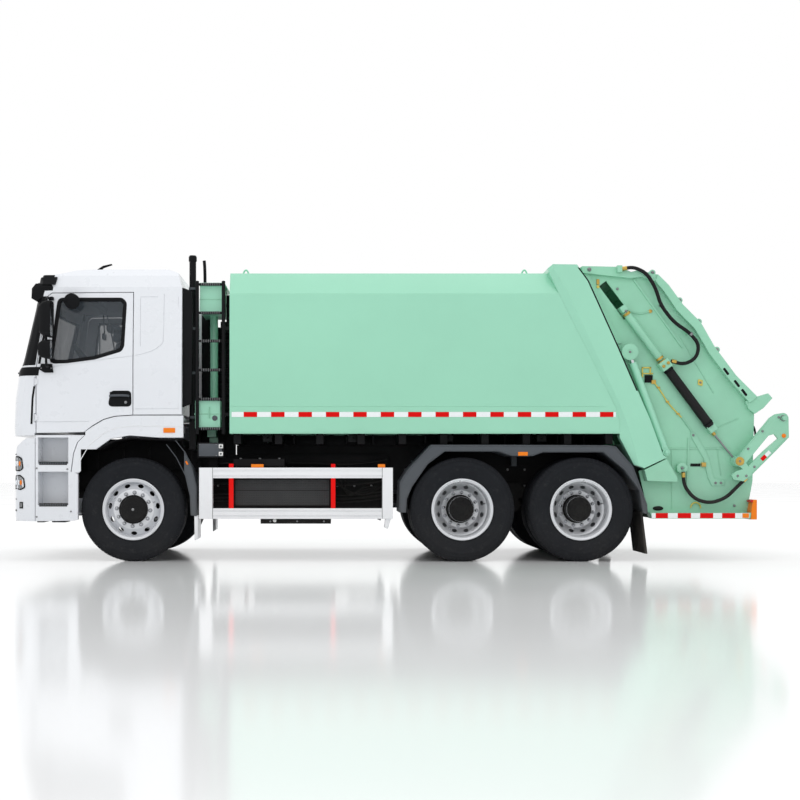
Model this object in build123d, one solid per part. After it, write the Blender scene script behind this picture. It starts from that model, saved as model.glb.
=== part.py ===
from build123d import *
import os
from math import cos, hypot, pi, radians, sin, tan

# Garbage truck, 6x4 chassis with a rear-loading compactor body.
# Millimetres. +Z up, floor at z = 0, front towards -X, left side towards -Y.

# ---- main stations along the truck ----
X_FRONT_AXLE = -2978
X_REAR_AXLES = (690, 2010)
X_BOGIE = 1350
X_CAB_REAR = -2430
X_BODY_FRONT = -1900
AXLE_Z = 580

# ---- tyres and wheels ----
TYRE_R = 580
Y_FRONT_TYRE = 1045
Y_TWIN = (757, 1092)
Y_KINGPIN = 880

# ---- frame ----
RAIL_Y = 430
RAIL_Z = (790, 1070)
SUB_Z = 1310
BODY_Z = (1425, 3225)
BODY_Y = 1215
BODY_WALL = 40
FRAME_Y = 1250

# ---- cab ----
CAB_Y = 1245
CAB_WALL = 40
TILT = (-4090, 900)
DOOR_HINGE_X = -4055
DOOR_GAP = 8
HINGE_Z = (1600, 2000)
HINGE_R = 10
HINGE_LEN = 80

# ---- tailgate ----
GATE_PIVOT = (2020, 3300)
GATE_Y = 1100
GATE_WALL = 30
GATE_IN = GATE_Y - GATE_WALL
RAM_LOW = (2965, 1220)
RAM_TOP = (2555, 2333)
RAM_Y = 1165
SLIDE_TOP = (2507, 2799)
SLIDE_LOW = (3465, 1511)
SLIDE_Y = 1157
BLADE_HINGE = (3280, 1260)
BLADE_R = 600
TROUGH_R = 632
ARM_PIVOT = (3766, 1117)
ARM_Y = (1216, 1250)
BIN_PIN = (4249, 1595)

SIDES = (-1, 1)


def bx(x0, x1, y0, y1, z0, z1):
    """Box between two x, two y and two z values."""
    at = Pos((x0 + x1) / 2, (y0 + y1) / 2, (z0 + z1) / 2)
    return at * Box(abs(x1 - x0), abs(y1 - y0), abs(z1 - z0))


def side(points, y0, y1):
    """Side outline of (x, z) points, from y0 to y1 across the truck."""
    low, high = min(y0, y1), max(y0, y1)
    face = Plane.XZ.offset(-high) * make_face(Polyline(*points, close=True))
    return extrude(face, high - low)


def front(points, x0, x1):
    """Front outline of (y, z) points, from x0 to x1 along the truck."""
    face = Plane.YZ.offset(x0) * make_face(Polyline(*points, close=True))
    return extrude(face, x1 - x0)


def plan(points, z0, z1):
    """Plan outline of (x, y) points, from z0 up to z1."""
    face = Plane.XY.offset(z0) * make_face(Polyline(*points, close=True))
    return extrude(face, z1 - z0)


def bar(p, q, r):
    """Round bar from point p to point q."""
    start = Vector(*p)
    run = Vector(*q) - start
    return Plane(start, z_dir=run) * Cylinder(r, run.length, align=(Align.CENTER, Align.CENTER, Align.MIN))


def cross(x, z, y0, y1, r):
    """Round bar across the truck at (x, z)."""
    return bar((x, min(y0, y1), z), (x, max(y0, y1), z), r)


def strip(p, q, width, y0, y1):
    """Flat bar in side view from (x, z) point p to q, between y0 and y1."""
    dx, dz = q[0] - p[0], q[1] - p[1]
    run = hypot(dx, dz)
    nx, nz = -dz / run * width / 2, dx / run * width / 2
    ring = [(p[0] + nx, p[1] + nz), (q[0] + nx, q[1] + nz), (q[0] - nx, q[1] - nz), (p[0] - nx, p[1] - nz)]
    return side(ring, y0, y1)


def both(make):
    """The same piece on the left and on the right."""
    left = make(-1)
    right = make(1)
    return Compound(children=solids_of(left) + solids_of(right))


def solids_of(shape):
    """The separate solids of a shape."""
    if isinstance(shape, (list, tuple, ShapeList)):
        return [s for item in shape for s in solids_of(item)]
    return list(shape.solids())


def ys(s, a, b):
    """The y range from a to b out from the centre, on side s."""
    return (s * a, s * b) if s > 0 else (s * b, s * a)


# =====================================================================
# chassis
# =====================================================================

def make_frame_rails():
    """Two channel rails that narrow at the nose, cross-members between them and the cab's pivot tube."""
    outline = [(-4125, 860), (-4060, 800), (-3700, RAIL_Z[0]), (2690, RAIL_Z[0]), (2690, RAIL_Z[1]), (-3300, RAIL_Z[1]),
               (-3500, 1010), (-4060, 1010), (-4125, 940)]
    flange = 10
    rails = None
    for s in SIDES:
        rail = side(outline, s * RAIL_Y, s * (RAIL_Y - 85))
        hollow = bx(-4000, 2680, *ys(s, RAIL_Y - 86, RAIL_Y - flange), 815, 998)
        rail = rail - hollow
        rails = rail if rails is None else rails + rail
    for x in (-4020, -1950, -1200, -200, 1350, 2640):
        rails = rails + bx(x - 20, x + 20, -RAIL_Y + 8, RAIL_Y - 8, 930, 1000)
    return rails + cross(TILT[0], TILT[1], -RAIL_Y + 20, RAIL_Y - 20, 30)


def make_subframe():
    """Body subframe: two long bearers and cross bearers under the body floor."""
    sub = bx(-1880, 2490, -RAIL_Y, -RAIL_Y + 80, RAIL_Z[1], SUB_Z)
    sub = sub + bx(-1880, 2490, RAIL_Y - 80, RAIL_Y, RAIL_Z[1], SUB_Z)
    for i in range(10):
        x = -1860 + i * 462
        sub = sub + bx(x, x + 80, -1150, 1150, SUB_Z, BODY_Z[0])
    return sub


def make_front_axle():
    """Dropped beam with a kingpin eye at each end."""
    half = [(-Y_KINGPIN, 520), (-Y_KINGPIN, 640), (-700, 640), (-560, 545), (0, 545), (560, 545), (700, 640),
            (Y_KINGPIN, 640), (Y_KINGPIN, 520), (700, 520), (560, 430), (-560, 430), (-700, 520)]
    beam = front(half, X_FRONT_AXLE - 50, X_FRONT_AXLE + 50)
    for s in SIDES:
        eye = Pos(X_FRONT_AXLE, s * Y_KINGPIN, 580) * Cylinder(55, 120)
        beam = beam + eye
        beam = beam - Pos(X_FRONT_AXLE, s * Y_KINGPIN, 580) * Cylinder(25.05, 200)
    return beam


def leaf_pack(x_mid, half, z_top, leaves, thick, drop, y0, y1):
    """Bowed stack of leaves as one outline, each leaf shorter than the one above it."""
    def bow(x):
        return z_top + drop * (x / half) ** 2
    ends = []
    for i in range(leaves):
        reach = half * (1 - 0.17 * i)
        ends.append((reach, bow(reach) - i * thick))
        ends.append((reach, bow(reach) - (i + 1) * thick))
    left = [(x_mid - x, z) for x, z in ends]
    right = [(x_mid + x, z) for x, z in reversed(ends)]
    top = [(x_mid + half * f, bow(half * f)) for f in (0.66, 0.33, 0, -0.33, -0.66)]
    return side(left + [(x_mid, z_top - leaves * thick)] + right + top, y0, y1)


def make_front_springs():
    """Leaf spring, axle seat and two hangers on each side."""
    def one(s):
        y0, y1 = ys(s, 375, 465)
        pack = leaf_pack(X_FRONT_AXLE, 720, 625, 3, 16, 105, y0, y1)
        seat = bx(X_FRONT_AXLE - 70, X_FRONT_AXLE + 70, y0, y1, 545, 585)
        hangers = bx(X_FRONT_AXLE - 750, X_FRONT_AXLE - 690, *ys(s, 372, 468), 690, RAIL_Z[0])
        hangers = hangers + bx(X_FRONT_AXLE + 690, X_FRONT_AXLE + 750, *ys(s, 372, 468), 690, RAIL_Z[0])
        return pack + seat + hangers
    return both(one)


def make_rear_springs():
    """Bogie leaf spring on a trunnion between the two driven axles, each side."""
    def one(s):
        y0, y1 = ys(s, 470, 560)
        pack = None
        for i in range(6):
            reach = 730 - i * 95
            low = 690 + i * 22
            leaf = bx(X_BOGIE - reach, X_BOGIE + reach, y0, y1, low, low + 22)
            pack = leaf if pack is None else pack + leaf
        saddle = bx(X_BOGIE - 90, X_BOGIE + 90, y0, y1, 822, 870)
        trunnion = cross(X_BOGIE, 610, s * 330, s * 560, 80)
        hanger = bx(X_BOGIE - 80, X_BOGIE + 80, *ys(s, 330, 430), 610, RAIL_Z[0])
        post = bx(X_BOGIE - 60, X_BOGIE + 60, y0, y1, 610, 700)
        return pack + saddle + trunnion + hanger + post
    return both(one)


def make_rear_axle(x):
    """Banjo axle: tube, round centre housing, spindle ends and spring pads."""
    axle = cross(x, AXLE_Z, -560, 560, 75)
    ball = cross(x, AXLE_Z, -130, 130, 215)
    nose = bar((x - 330, 0, AXLE_Z + 60), (x, 0, AXLE_Z + 20), 95)
    axle = axle + ball + nose
    axle = axle + cross(x, AXLE_Z, -1108, 1108, 50)
    for s in SIDES:
        axle = axle + bx(x - 60, x + 60, *ys(s, 470, 560), 630, 690)
    return axle


def make_engine():
    """Engine block between the rails, below the cab floor."""
    block = bx(-3700, -2800, -330, 330, 640, 1340)
    pan = bx(-3600, -2900, -220, 220, 600, 640)
    cooler = bx(-3880, -3760, -335, 335, 820, 1330)
    neck = bx(-3760, -3700, -200, 200, 900, 1200)
    axle_room = bx(X_FRONT_AXLE - 70, X_FRONT_AXLE + 70, -331, 331, 590, 660)
    return block + pan + cooler + neck - axle_room


def make_driveline():
    """Gearbox, propeller shaft and the short shaft between the driven axles."""
    x1, x2 = X_REAR_AXLES
    box = bx(-2800, -2050, -210, 210, 700, 1040)
    shaft = bar((-2050, 0, 860), (x1 - 352, 0, AXLE_Z + 64), 55)
    link = bar((x1 + 100, 0, AXLE_Z + 50), (x2 - 352, 0, AXLE_Z + 62), 50)
    link = link - cross(x1, AXLE_Z, -300, 300, 216)
    return box + shaft + link


def make_fuel_tank():
    """Fuel tank on the right, hung from the rail on two brackets."""
    shape = front([(620, 560), (1120, 560), (1170, 620), (1170, 950), (1120, 1010), (620, 1010)], -1740, -780)
    straps = bx(-1560, -1500, RAIL_Y, 620, 820, 900) + bx(-900, -840, RAIL_Y, 620, 820, 900)
    return shape + straps


def make_battery_box():
    """Mesh-sided box behind the left guard, its shelf and the grey box above it."""
    box = bx(-1855, -780, -1120, -620, 617, 921)
    shelf = bx(-1559, -772, -1150, -650, 420, 474) + bx(-1480, -1420, -900, -850, 474, 617)
    shelf = shelf + bx(-900, -840, -900, -850, 474, 617)
    upper = bx(-1862, -1293, -1160, -700, 1060, 1143) + bx(-1800, -1400, -1000, -760, 921, 1060)
    straps = bx(-1700, -1640, -620, -RAIL_Y, 820, 900) + bx(-980, -920, -620, -RAIL_Y, 820, 900)
    return box + shelf + upper + straps


def make_air_tanks():
    """Two air reservoirs under the right rail, held by a bracket."""
    tanks = bar((-560, 700, 760), (-60, 700, 760), 130) + bar((-560, 980, 760), (-60, 980, 760), 130)
    return tanks + bx(-340, -280, RAIL_Y, 1000, 860, 900)


def make_control_box():
    """Dark control box behind the cab on the left, on a bracket from the rail."""
    return bx(-2260, -1968, -1190, -900, 1159, 1326) + bx(-2160, -2060, -900, -RAIL_Y, 960, 1010) + \
        bx(-2160, -2060, -960, -900, 960, 1159)


# =====================================================================
# front end: bumper, steps, arches, fixed to the chassis
# =====================================================================

NOSE_PLAN = [(-2000, -CAB_Y), (-4090, -CAB_Y), (-4210, -1225), (-4288, -1170), (-4325, -1080), (-4345, -900),
             (-4358, -450), (-4358, 450), (-4345, 900), (-4325, 1080), (-4288, 1170), (-4210, 1225),
             (-4090, CAB_Y), (-2000, CAB_Y)]


def nose_plan(inset):
    """The cab's plan outline, moved in by inset at the front and the sides."""
    return [(x + inset, y * (CAB_Y - inset) / CAB_Y) for x, y in NOSE_PLAN]


def make_bumper():
    """Deep bumper that wraps the corners, hollow behind, with lamp and lower air openings."""
    outline = [(-4060, 450), (-4290, 456), (-4335, 528), (-4335, 753), (-4322, 800), (-4316, 1180),
               (-4270, 1290), (-4160, 1375), (-4060, 1375)]
    outer = side(outline, -CAB_Y, CAB_Y) & plan(nose_plan(8), 400, 1400)
    shell = outer - (plan(nose_plan(48), 380, 1420) - bx(-4068, -2000, -1400, 1400, 300, 1500))
    shell = shell - bx(-4400, -4200, -620, 620, 560, 700)
    for s in SIDES:
        shell = shell - bx(-4400, -4215, *ys(s, 760, 1150), 830, 1180)
    shell = shell - bx(-4100, -4050, -RAIL_Y - 10, RAIL_Y + 10, 780, 1030)
    mounts = bx(-4240, -4000, *ys(-1, RAIL_Y, RAIL_Y + 60), 810, 900)
    mounts = mounts + bx(-4240, -4000, *ys(1, RAIL_Y, RAIL_Y + 60), 810, 900)
    beam = bx(-4300, -4240, -1000, 1000, 770, 826)
    return shell + beam + mounts


def make_headlamps():
    """Head lamp unit in each bumper corner."""
    def one(s):
        block = bx(-4400, -4216, *ys(s, 765, 1145), 835, 1175)
        return block & plan(nose_plan(20), 400, 1400)
    return both(one)


def arch_clear(s):
    """Room that the steered front wheel sweeps."""
    return Pos(X_FRONT_AXLE, s * Y_KINGPIN, 600) * Cylinder(676, 1300)


def step_box(s):
    """Two-tread entry step box."""
    y0, y1 = ys(s, 880, CAB_Y - 4)
    body = side([(-4054, 450), (-3640, 456), (-3583, 470), (-3583, 980), (-3662, 1000), (-3635, 1205), (-3590, 1330),
                 (-3506, 1408), (-4054, 1408)], y0, y1)
    for z0, z1 in ((630, 1000), (1092, 1380)):
        body = body - bx(-4025, -3690, *ys(s, 1010, 1400), z0, z1)
    body = body - bx(-4030, -3720, *ys(s, 870, 970), 480, 1380)
    body = body + bx(-3900, -3800, *ys(s, RAIL_Y, 890), 900, 960)
    return body - arch_clear(s)


def arch_band(s):
    """Wheel-arch band and rear quarter below the cab, on a post from the rail."""
    outline = [(-2413, 1626), (-2972, 1626), (-3173, 1612), (-3296, 1577), (-3419, 1505), (-3500, 1448),
               (-3500, 1410), (-3582, 1328), (-3627, 1205), (-3654, 1000), (-3654, 989), (-3575, 989), (-3542, 1015),
               (-3501, 1110), (-3399, 1240), (-3214, 1369), (-3009, 1404), (-2680, 1380), (-2413, 1380)]
    band = side(outline, *ys(s, CAB_Y - 50, CAB_Y - 4))
    top = side([(-2413, 1600), (-2972, 1600), (-3280, 1540), (-3280, 1500), (-2972, 1560), (-2413, 1560)],
               *ys(s, 700, CAB_Y - 50))
    post = bx(-2700, -2620, *ys(s, RAIL_Y - 20, 700), 1480, 1600)
    leg = bx(-2700, -2620, *ys(s, RAIL_Y - 60, RAIL_Y - 20), RAIL_Z[1], 1600)
    return (band + top + post + leg) - arch_clear(s)


def make_cab_steps():
    """Step box and wheel-arch band below each side of the cab."""
    return both(lambda s: step_box(s) + arch_band(s))


def make_front_mudguards():
    """Rear half of each front mudguard."""
    outline = [(-2506, 1359), (-2393, 1226), (-2311, 1041), (-2265, 835), (-2265, 507), (-2331, 517), (-2341, 733),
               (-2393, 959), (-2495, 1164), (-2618, 1308), (-2680, 1369)]

    def one(s):
        guard = side(outline, *ys(s, 860, 1236)) + bx(-2300, -2270, *ys(s, RAIL_Y, 870), 840, 870)
        return max(solids_of(guard - arch_clear(s)), key=lambda piece: piece.volume)
    return both(one)


def make_rear_mudguards():
    """Mudguard over both driven axles, each side."""
    outline = [(-13, 548), (-8, 882), (82, 1026), (340, 1300), (1048, 1300), (2309, 1295), (2395, 1280), (2585, 1060),
               (2739, 643), (2749, 529), (2691, 548), (2653, 796), (2481, 1026), (2252, 1217), (1583, 1217), (1468, 1175),
               (1239, 1175), (1086, 1226), (493, 1226), (302, 1083), (130, 834), (73, 701), (63, 548)]

    def one(s):
        guard = side(outline, *ys(s, 600, 1245))
        for x in (200, 1350, 2450):
            z = 1235 if x == 1350 else 1130
            guard = guard + bx(x - 30, x + 30, *ys(s, RAIL_Y, 620), z - 170, z)
        return guard
    return both(one)


def make_mud_flaps():
    """Rubber flap behind the rear wheels."""
    def one(s):
        return side([(2665, 560), (2690, 545), (2745, 90), (2720, 90)], *ys(s, 640, 1240))
    return both(one)


def make_side_guards():
    """Side guard frame with one long window, and its stays to the rail."""
    def one(s):
        y0, y1 = ys(s, 1190, 1240)
        panel = bx(-2236, -84, y0, y1, 477, 1046) - bx(-2084, -204, *ys(s, 1100, 1300), 594, 929)
        for x in (-1930, -720, -150):
            panel = panel + bx(x - 25, x + 25, *ys(s, RAIL_Y, 1190), 965, 1015)
        return panel
    return both(one)


def make_guard_posts():
    """Red posts across the guard window."""
    def one(s):
        return bx(-1906, -1855, *ys(s, 1192, 1238), 594, 929) + bx(-772, -722, *ys(s, 1192, 1238), 594, 929)
    return both(one)


def make_ladder():
    """Access ladder behind the cab on the left."""
    x0, x1 = -2262, -1970
    frame = bar((x0, -1190, 1420), (x0, -1190, 3116), 20) + bar((x1, -1190, 1420), (x1, -1190, 3116), 20)
    for z in (1481, 1810, 2135, 2458, 2772, 3090):
        frame = frame + bar((x0, -1190, z), (x1, -1190, z), 14)
    for z in (1640, 2600):
        frame = frame + bx(x1, X_BODY_FRONT, -1200, -1180, z - 15, z + 15)
    return frame


def make_intake_stack():
    """Upright air intake behind the cab on the left."""
    pipe = bar((-2333, -1000, 1250), (-2333, -1000, 3440), 38)
    return pipe + bx(-2371, -2295, -1038, -962, 1250, 1560) + bx(-2371, -2295, -962, -RAIL_Y + 40, 1250, 1300) + \
        bx(-2371, -2295, -RAIL_Y, -RAIL_Y + 40, RAIL_Z[1], 1300)


def make_hydraulic_tanks():
    """Oil tank low behind the cab and a header tank above it."""
    low = bx(-2290, -2010, -1150, -560, 1488, 1793)
    high = bx(-2240, -1990, -1120, -420, 2784, 3081)
    neck = bar((-2120, -700, 1793), (-2120, -700, 2784), 45)
    foot = bx(-2200, -2100, -700, -RAIL_Y + 20, 1400, 1488) + bx(-2200, -2100, -RAIL_Y, -RAIL_Y + 20, RAIL_Z[1], 1400)
    return low + high + neck + foot


def make_rear_cabinet():
    """Dark housing across the gap between cab and body."""
    block = bx(-2180, -1960, -380, 1150, 1440, 2700)
    foot = bx(-2160, -2000, -380, -330, RAIL_Z[1], 1440) + bx(-2160, -2000, 340, RAIL_Y, RAIL_Z[1], 1440)
    return block + foot


# =====================================================================
# cab, hinged at its lower front edge
# =====================================================================

# height, and how far back of the nose plan the front face stands there
CAB_ROWS = [(1380, 8), (1492, 0), (1821, 14), (2026, 45), (2129, 55), (2211, 102), (2940, 271), (3340, 365)]

WINDOW = [(-3891, 2215), (-3800, 2925), (-3100, 2925), (-3060, 2880), (-3085, 2400), (-3110, 2350), (-3400, 2262),
          (-3700, 2222)]


def cab_block(inset):
    """Solid cab form, moved in by inset on every face."""
    sheets = []
    for z, back in CAB_ROWS:
        ring = [(x + (back if x < -2000 else 0), y) for x, y in nose_plan(inset)]
        sheets.append(Plane.XY.offset(z) * make_face(Polyline(*ring, close=True)))
    block = loft(sheets, ruled=True)
    i = inset
    roof = [(-4400, 1400 + i), (-4062, 1405 + i), (-4062, 1431 + i), (-3516, 1441 + i), (-3424, 1513 + i),
            (-3301, 1585 + i), (-3178, 1620 + i), (-2977, 1634 + i), (X_CAB_REAR - i, 1636 + i),
            (X_CAB_REAR - i, 3060 - i), (-2480 - i, 3230 - i), (-2660, 3300 - i), (-3214, 3296 - i),
            (-3624, 3265 - i), (-3770 + i, 3226 - i), (-3990 + i, 3178 - i), (-4400, 3040 - i)]
    lean = [(-1245 + i, 1300), (-1245 + i, 2150), (-1192 + i, 3060), (-1150 + i, 3190), (-1050 + i, 3275), (-800, 3320 - i),
            (800, 3320 - i), (1050 - i, 3275), (1150 - i, 3190), (1192 - i, 3060), (1245 - i, 2150), (1245 - i, 1300)]
    return block & side(roof, -1300, 1300) & front(lean, -4500, -2000)


def door_outline(gap):
    """Door outline, smaller by gap all round."""
    ring = [(-4051, 1300), (-4051, 2149), (-3925, 2960), (-3880, 2996), (-2967, 3004), (-2967, 1500)]
    face = make_face(Polyline(*ring, close=True))
    return offset(face, -gap, kind=Kind.INTERSECTION) if gap else face


def door_prism(s, gap):
    """Door outline pushed through the side wall on side s."""
    low, high = ys(s, 1150, 1300)
    prism = extrude(Plane.XZ.offset(-high) * door_outline(gap), high - low)
    return prism - bx(-4100, -2900, *ys(s, 1100, CAB_Y - CAB_WALL), 1300, 1720)


def make_cab():
    """Cab shell, door openings, door windows and windscreen; returns its pieces by name."""
    outer = cab_block(0)
    inner = cab_block(CAB_WALL)
    skin = outer - inner
    shell = skin
    pieces = {}
    screen = bx(-4500, -3900, -1110, 1110, 2225, 2900)
    shell = shell - (screen & (outer - cab_block(60)))
    for s, name in ((-1, "left"), (1, "right")):
        shell = shell - door_prism(s, 0)
        panel = skin & door_prism(s, DOOR_GAP)
        hole = side(WINDOW, *ys(s, 1100, 1300))
        panel = panel - hole
        for z in HINGE_Z:
            axis = (DOOR_HINGE_X, s * CAB_Y)
            shell = shell - Pos(*axis, z) * Cylinder(HINGE_R + 6, HINGE_LEN + 20)
            strap = bx(DOOR_HINGE_X, DOOR_HINGE_X + 30, *ys(s, CAB_Y - 7, CAB_Y + 5), z - 30, z + 30)
            panel = panel + (Pos(*axis, z) * Cylinder(HINGE_R, HINGE_LEN) + strap)
        pieces["door_" + name] = panel
        glass = cab_block(14) - cab_block(22)
        pieces["door_glass_" + name] = glass & hole
    pieces["windscreen"] = (cab_block(12) - cab_block(22)) & screen
    recess = bx(-4500, -4200, -820, 820, 1500, 1960)
    shell = shell - (recess & (outer - cab_block(25)))
    pieces["grille"] = (cab_block(8) - cab_block(25)) & recess
    pieces["cab_shell"] = shell
    visor = side([(-4128, 2955), (-4046, 3110), (-3860, 3115), (-3860, 2991), (-4010, 2888)], -1150, 1150)
    ring = [(x + 160, y * 0.94) for x, y in nose_plan(0)]
    pieces["sun_visor"] = (visor & plan(ring, 2800, 3200)) - outer
    return pieces


def make_dash():
    """Dashboard across the cab with the steering column."""
    block = cab_block(42) & bx(-4400, -3860, -1140, 1140, 1960, 2195)
    leg = cab_block(42) & bx(-4400, -4120, -1140, 1140, 1474, 1960)
    column = bar((-3890, -600, 2100), (-3640, -600, 2285), 32)
    return block + leg + column


def make_steering_wheel():
    """Steering wheel on its sloping column."""
    spin = Plane((-3625, -600, 2296), z_dir=(250, 0, 185))
    ring = spin * Torus(205, 17)
    hub = spin * Cylinder(45, 30)
    spokes = spin * Box(390, 40, 14)
    return ring + hub + spokes


def make_seats():
    """Driver's and passenger's seats on pedestals."""
    def one(s):
        y0, y1 = ys(s, 360, 860)
        base = bx(-3700, -3540, *ys(s, 450, 770), 1484, 1850)
        cushion = side([(-3760, 1850), (-3230, 1850), (-3200, 1990), (-3740, 2000)], y0, y1)
        back = side([(-3330, 1990), (-3200, 1990), (-3130, 2480), (-3235, 2480)], y0, y1)
        head = side([(-3300, 2500), (-3170, 2480), (-3150, 2660), (-3290, 2680)], *ys(s, 490, 730))
        for y in (560, 650):
            head = head + bx(-3220, -3205, *ys(s, y, y + 12), 2470, 2510)
        return base + cushion + back + head
    return both(one)


def make_cab_extenders():
    """Dark air deflectors behind the cab's rear corners."""
    def one(s):
        fin = side([(X_CAB_REAR, 1720), (-2330, 1760), (-2316, 2860), (-2330, 3020), (X_CAB_REAR, 3058)],
                   *ys(s, 1130, 1165))
        return fin
    return both(one)


def make_mirror(s):
    """Mirror cluster on the door: tall mirror, wide-angle mirror and two arms."""
    big = bx(-3968, -3835, *ys(s, 1300, 1500), 2478, 2878)
    small = bx(-3980, -3838, *ys(s, 1310, 1490), 2242, 2450)
    rod = bx(-3912, -3888, *ys(s, 1388, 1412), 2150, 2937)
    arms = bx(-3912, -3888, *ys(s, 1230, 1400), 2913, 2937) + bx(-3912, -3888, *ys(s, 1250, 1400), 2150, 2174)
    foot = bx(-4010, -3850, *ys(s, 1245, 1262), 2100, 2200)
    top = bx(-3895, -3855, *ys(s, 1202, 1262), 2905, 2945)
    return big + small + rod + arms + foot + top


# =====================================================================
# compactor body
# =====================================================================

BODY_BACK = [(2443, 1425), (2443, 1554), (2396, 1726), (1781, 2948), (1653, 3225)]
POST_BACK = [(2708, 1040), (2957, 1157), (2926, 1227), (2427, 2380), (2093, 3120), (1960, 3302)]
POST_BASE = [(1645, 3268), (1653, 3225), (1781, 2948), (2396, 1726), (2443, 1554), (2443, 1383), (2600, 1078)]
POST_FACE = [(1690, 3290), (1700, 3250), (1860, 2990), (2427, 1770), (2500, 1590), (2560, 1400), (2650, 1065)]


def body_section(inset):
    """Front outline of the body with its sloped upper corners."""
    y, z0, z1 = BODY_Y - inset, BODY_Z[0] + inset, BODY_Z[1] - inset
    return [(-y, z0), (y, z0), (y, 2985), (1100 - inset * 0.7, z1), (-1100 + inset * 0.7, z1), (-y, 2985)]


def make_body_shell():
    """Hollow load body, open at the back."""
    outline = [(X_BODY_FRONT, BODY_Z[0])] + BODY_BACK + [(X_BODY_FRONT, BODY_Z[1])]
    outer = side(outline, -BODY_Y, BODY_Y) & front(body_section(0), -2000, 2600)
    room = front(body_section(BODY_WALL), X_BODY_FRONT + BODY_WALL, 2600)
    return outer - room


def make_rear_frame():
    """Slanted rear frame that carries the tailgate hinges and the lift ram ears."""
    outline = [(1690, 3306)] + POST_BASE + POST_BACK
    frame = None
    for s in SIDES:
        post = side(outline, *ys(s, GATE_Y, BODY_Y))
        layers = []
        for y, edge in ((BODY_Y, POST_BASE), (FRAME_Y, POST_FACE)):
            ring = [(1690, 3306)] + edge + POST_BACK
            sheet = Plane.XZ.offset(-s * y) * make_face(Polyline(*ring, close=True))
            layers.append(sheet)
        post = post + loft(layers, ruled=True)
        frame = post if frame is None else frame + post
    beam = side([(1690, 3306), (1690, 3229), (2000, 3229), (1960, 3302)], -GATE_Y, GATE_Y)
    sill = side([(2500, 1310), (2596, 1078), (2700, 1078), (2940, 1165), (2910, 1240), (2880, 1310)], -GATE_Y, GATE_Y)
    frame = frame + beam + sill
    px, pz = GATE_PIVOT
    for s in SIDES:
        for y in (700, 790):
            ear = side([(1930, 3231), (1990, 3231), (px + 20, pz - 35), (px + 40, pz), (px, pz + 40), (1940, pz + 6)],
                       *ys(s, y, y + 30))
            frame = frame + ear
        frame = frame + cross(px, pz, s * 700, s * 820, 20)
        rx, rz = RAM_LOW
        dx, dz = RAM_TOP[0] - rx, RAM_TOP[1] - rz
        run = hypot(dx, dz)
        room = strip(RAM_LOW, (rx + dx * 0.5, rz + dz * 0.5), 112, *ys(s, 1118, 1260))
        room = room + cross(rx, rz, s * 1118, s * 1260, 56)
        frame = frame - room
        ear = side([(2880, 1290), (2700, 1060), (2940, 1160), (rx + 30, rz - 28), (rx + 40, rz), (rx + 30, rz + 28)],
                   *ys(s, 1103, 1118))
        frame = frame + ear + cross(rx, rz, s * 1110, s * 1222, 20)
    return frame


def make_ejector():
    """Push-out plate inside the body with its guide shoes."""
    plate = front([(-1130, 1480), (1130, 1480), (1130, 2940), (1040, 3150), (-1040, 3150), (-1130, 2940)], -1760, -1700)
    ribs = None
    for y in (-700, 0, 700):
        rib = bx(-1830, -1760, y - 30, y + 30, 1500, 3100)
        ribs = rib if ribs is None else ribs + rib
    shoes = bx(-1830, -1500, -1130, -1070, 1480, 1540) + bx(-1830, -1500, 1070, 1130, 1480, 1540)
    return plate + ribs + shoes


# =====================================================================
# tailgate with hopper, packer and bin lifter
# =====================================================================

SEAM = [(2935, 1236), (2437, 2384), (2103, 3124), (1998, 3270)]
GATE_TOP = [(2034, 3299), (2116, 3299), (2459, 3291), (2583, 3235), (2662, 3255), (2880, 3206)]
GATE_REAR = [(2999, 3087), (3158, 2869), (3356, 2670), (3515, 2393), (3753, 2076), (3990, 1838), (3951, 1719),
             (3975, 1640), (3957, 894), (3904, 607), (3885, 480)]
HOOK = [(3860, 1790), (3994, 1840), (4116, 1877), (4164, 1824), (4063, 1712), (3970, 1650), (3900, 1700)]
EDGE_LUGS = [(2826, 3228), (3128, 2918), (3344, 2680), (3546, 2366)]
GATE_LOW = [(2800, 480), (2765, 560), (2757, 665), (2710, 876), (2680, 1008), (2712, 1022), (2957, 1144)]


def slide_dir():
    """Unit vector of the packer's travel, up and forward."""
    dx, dz = -505, 679
    run = hypot(dx, dz)
    return dx / run, dz / run


def along(p, u, d):
    """Point at distance d from p along the unit vector u."""
    return (p[0] + u[0] * d, p[1] + u[1] * d)


def trough(r, a0, a1, steps):
    """Points of the hopper arc about the packer's low hinge; angles from straight down, rearward positive."""
    pts = []
    for i in range(steps + 1):
        a = radians(a0 + (a1 - a0) * i / steps)
        pts.append((BLADE_HINGE[0] + r * sin(a), BLADE_HINGE[1] - r * cos(a)))
    return pts


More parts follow.
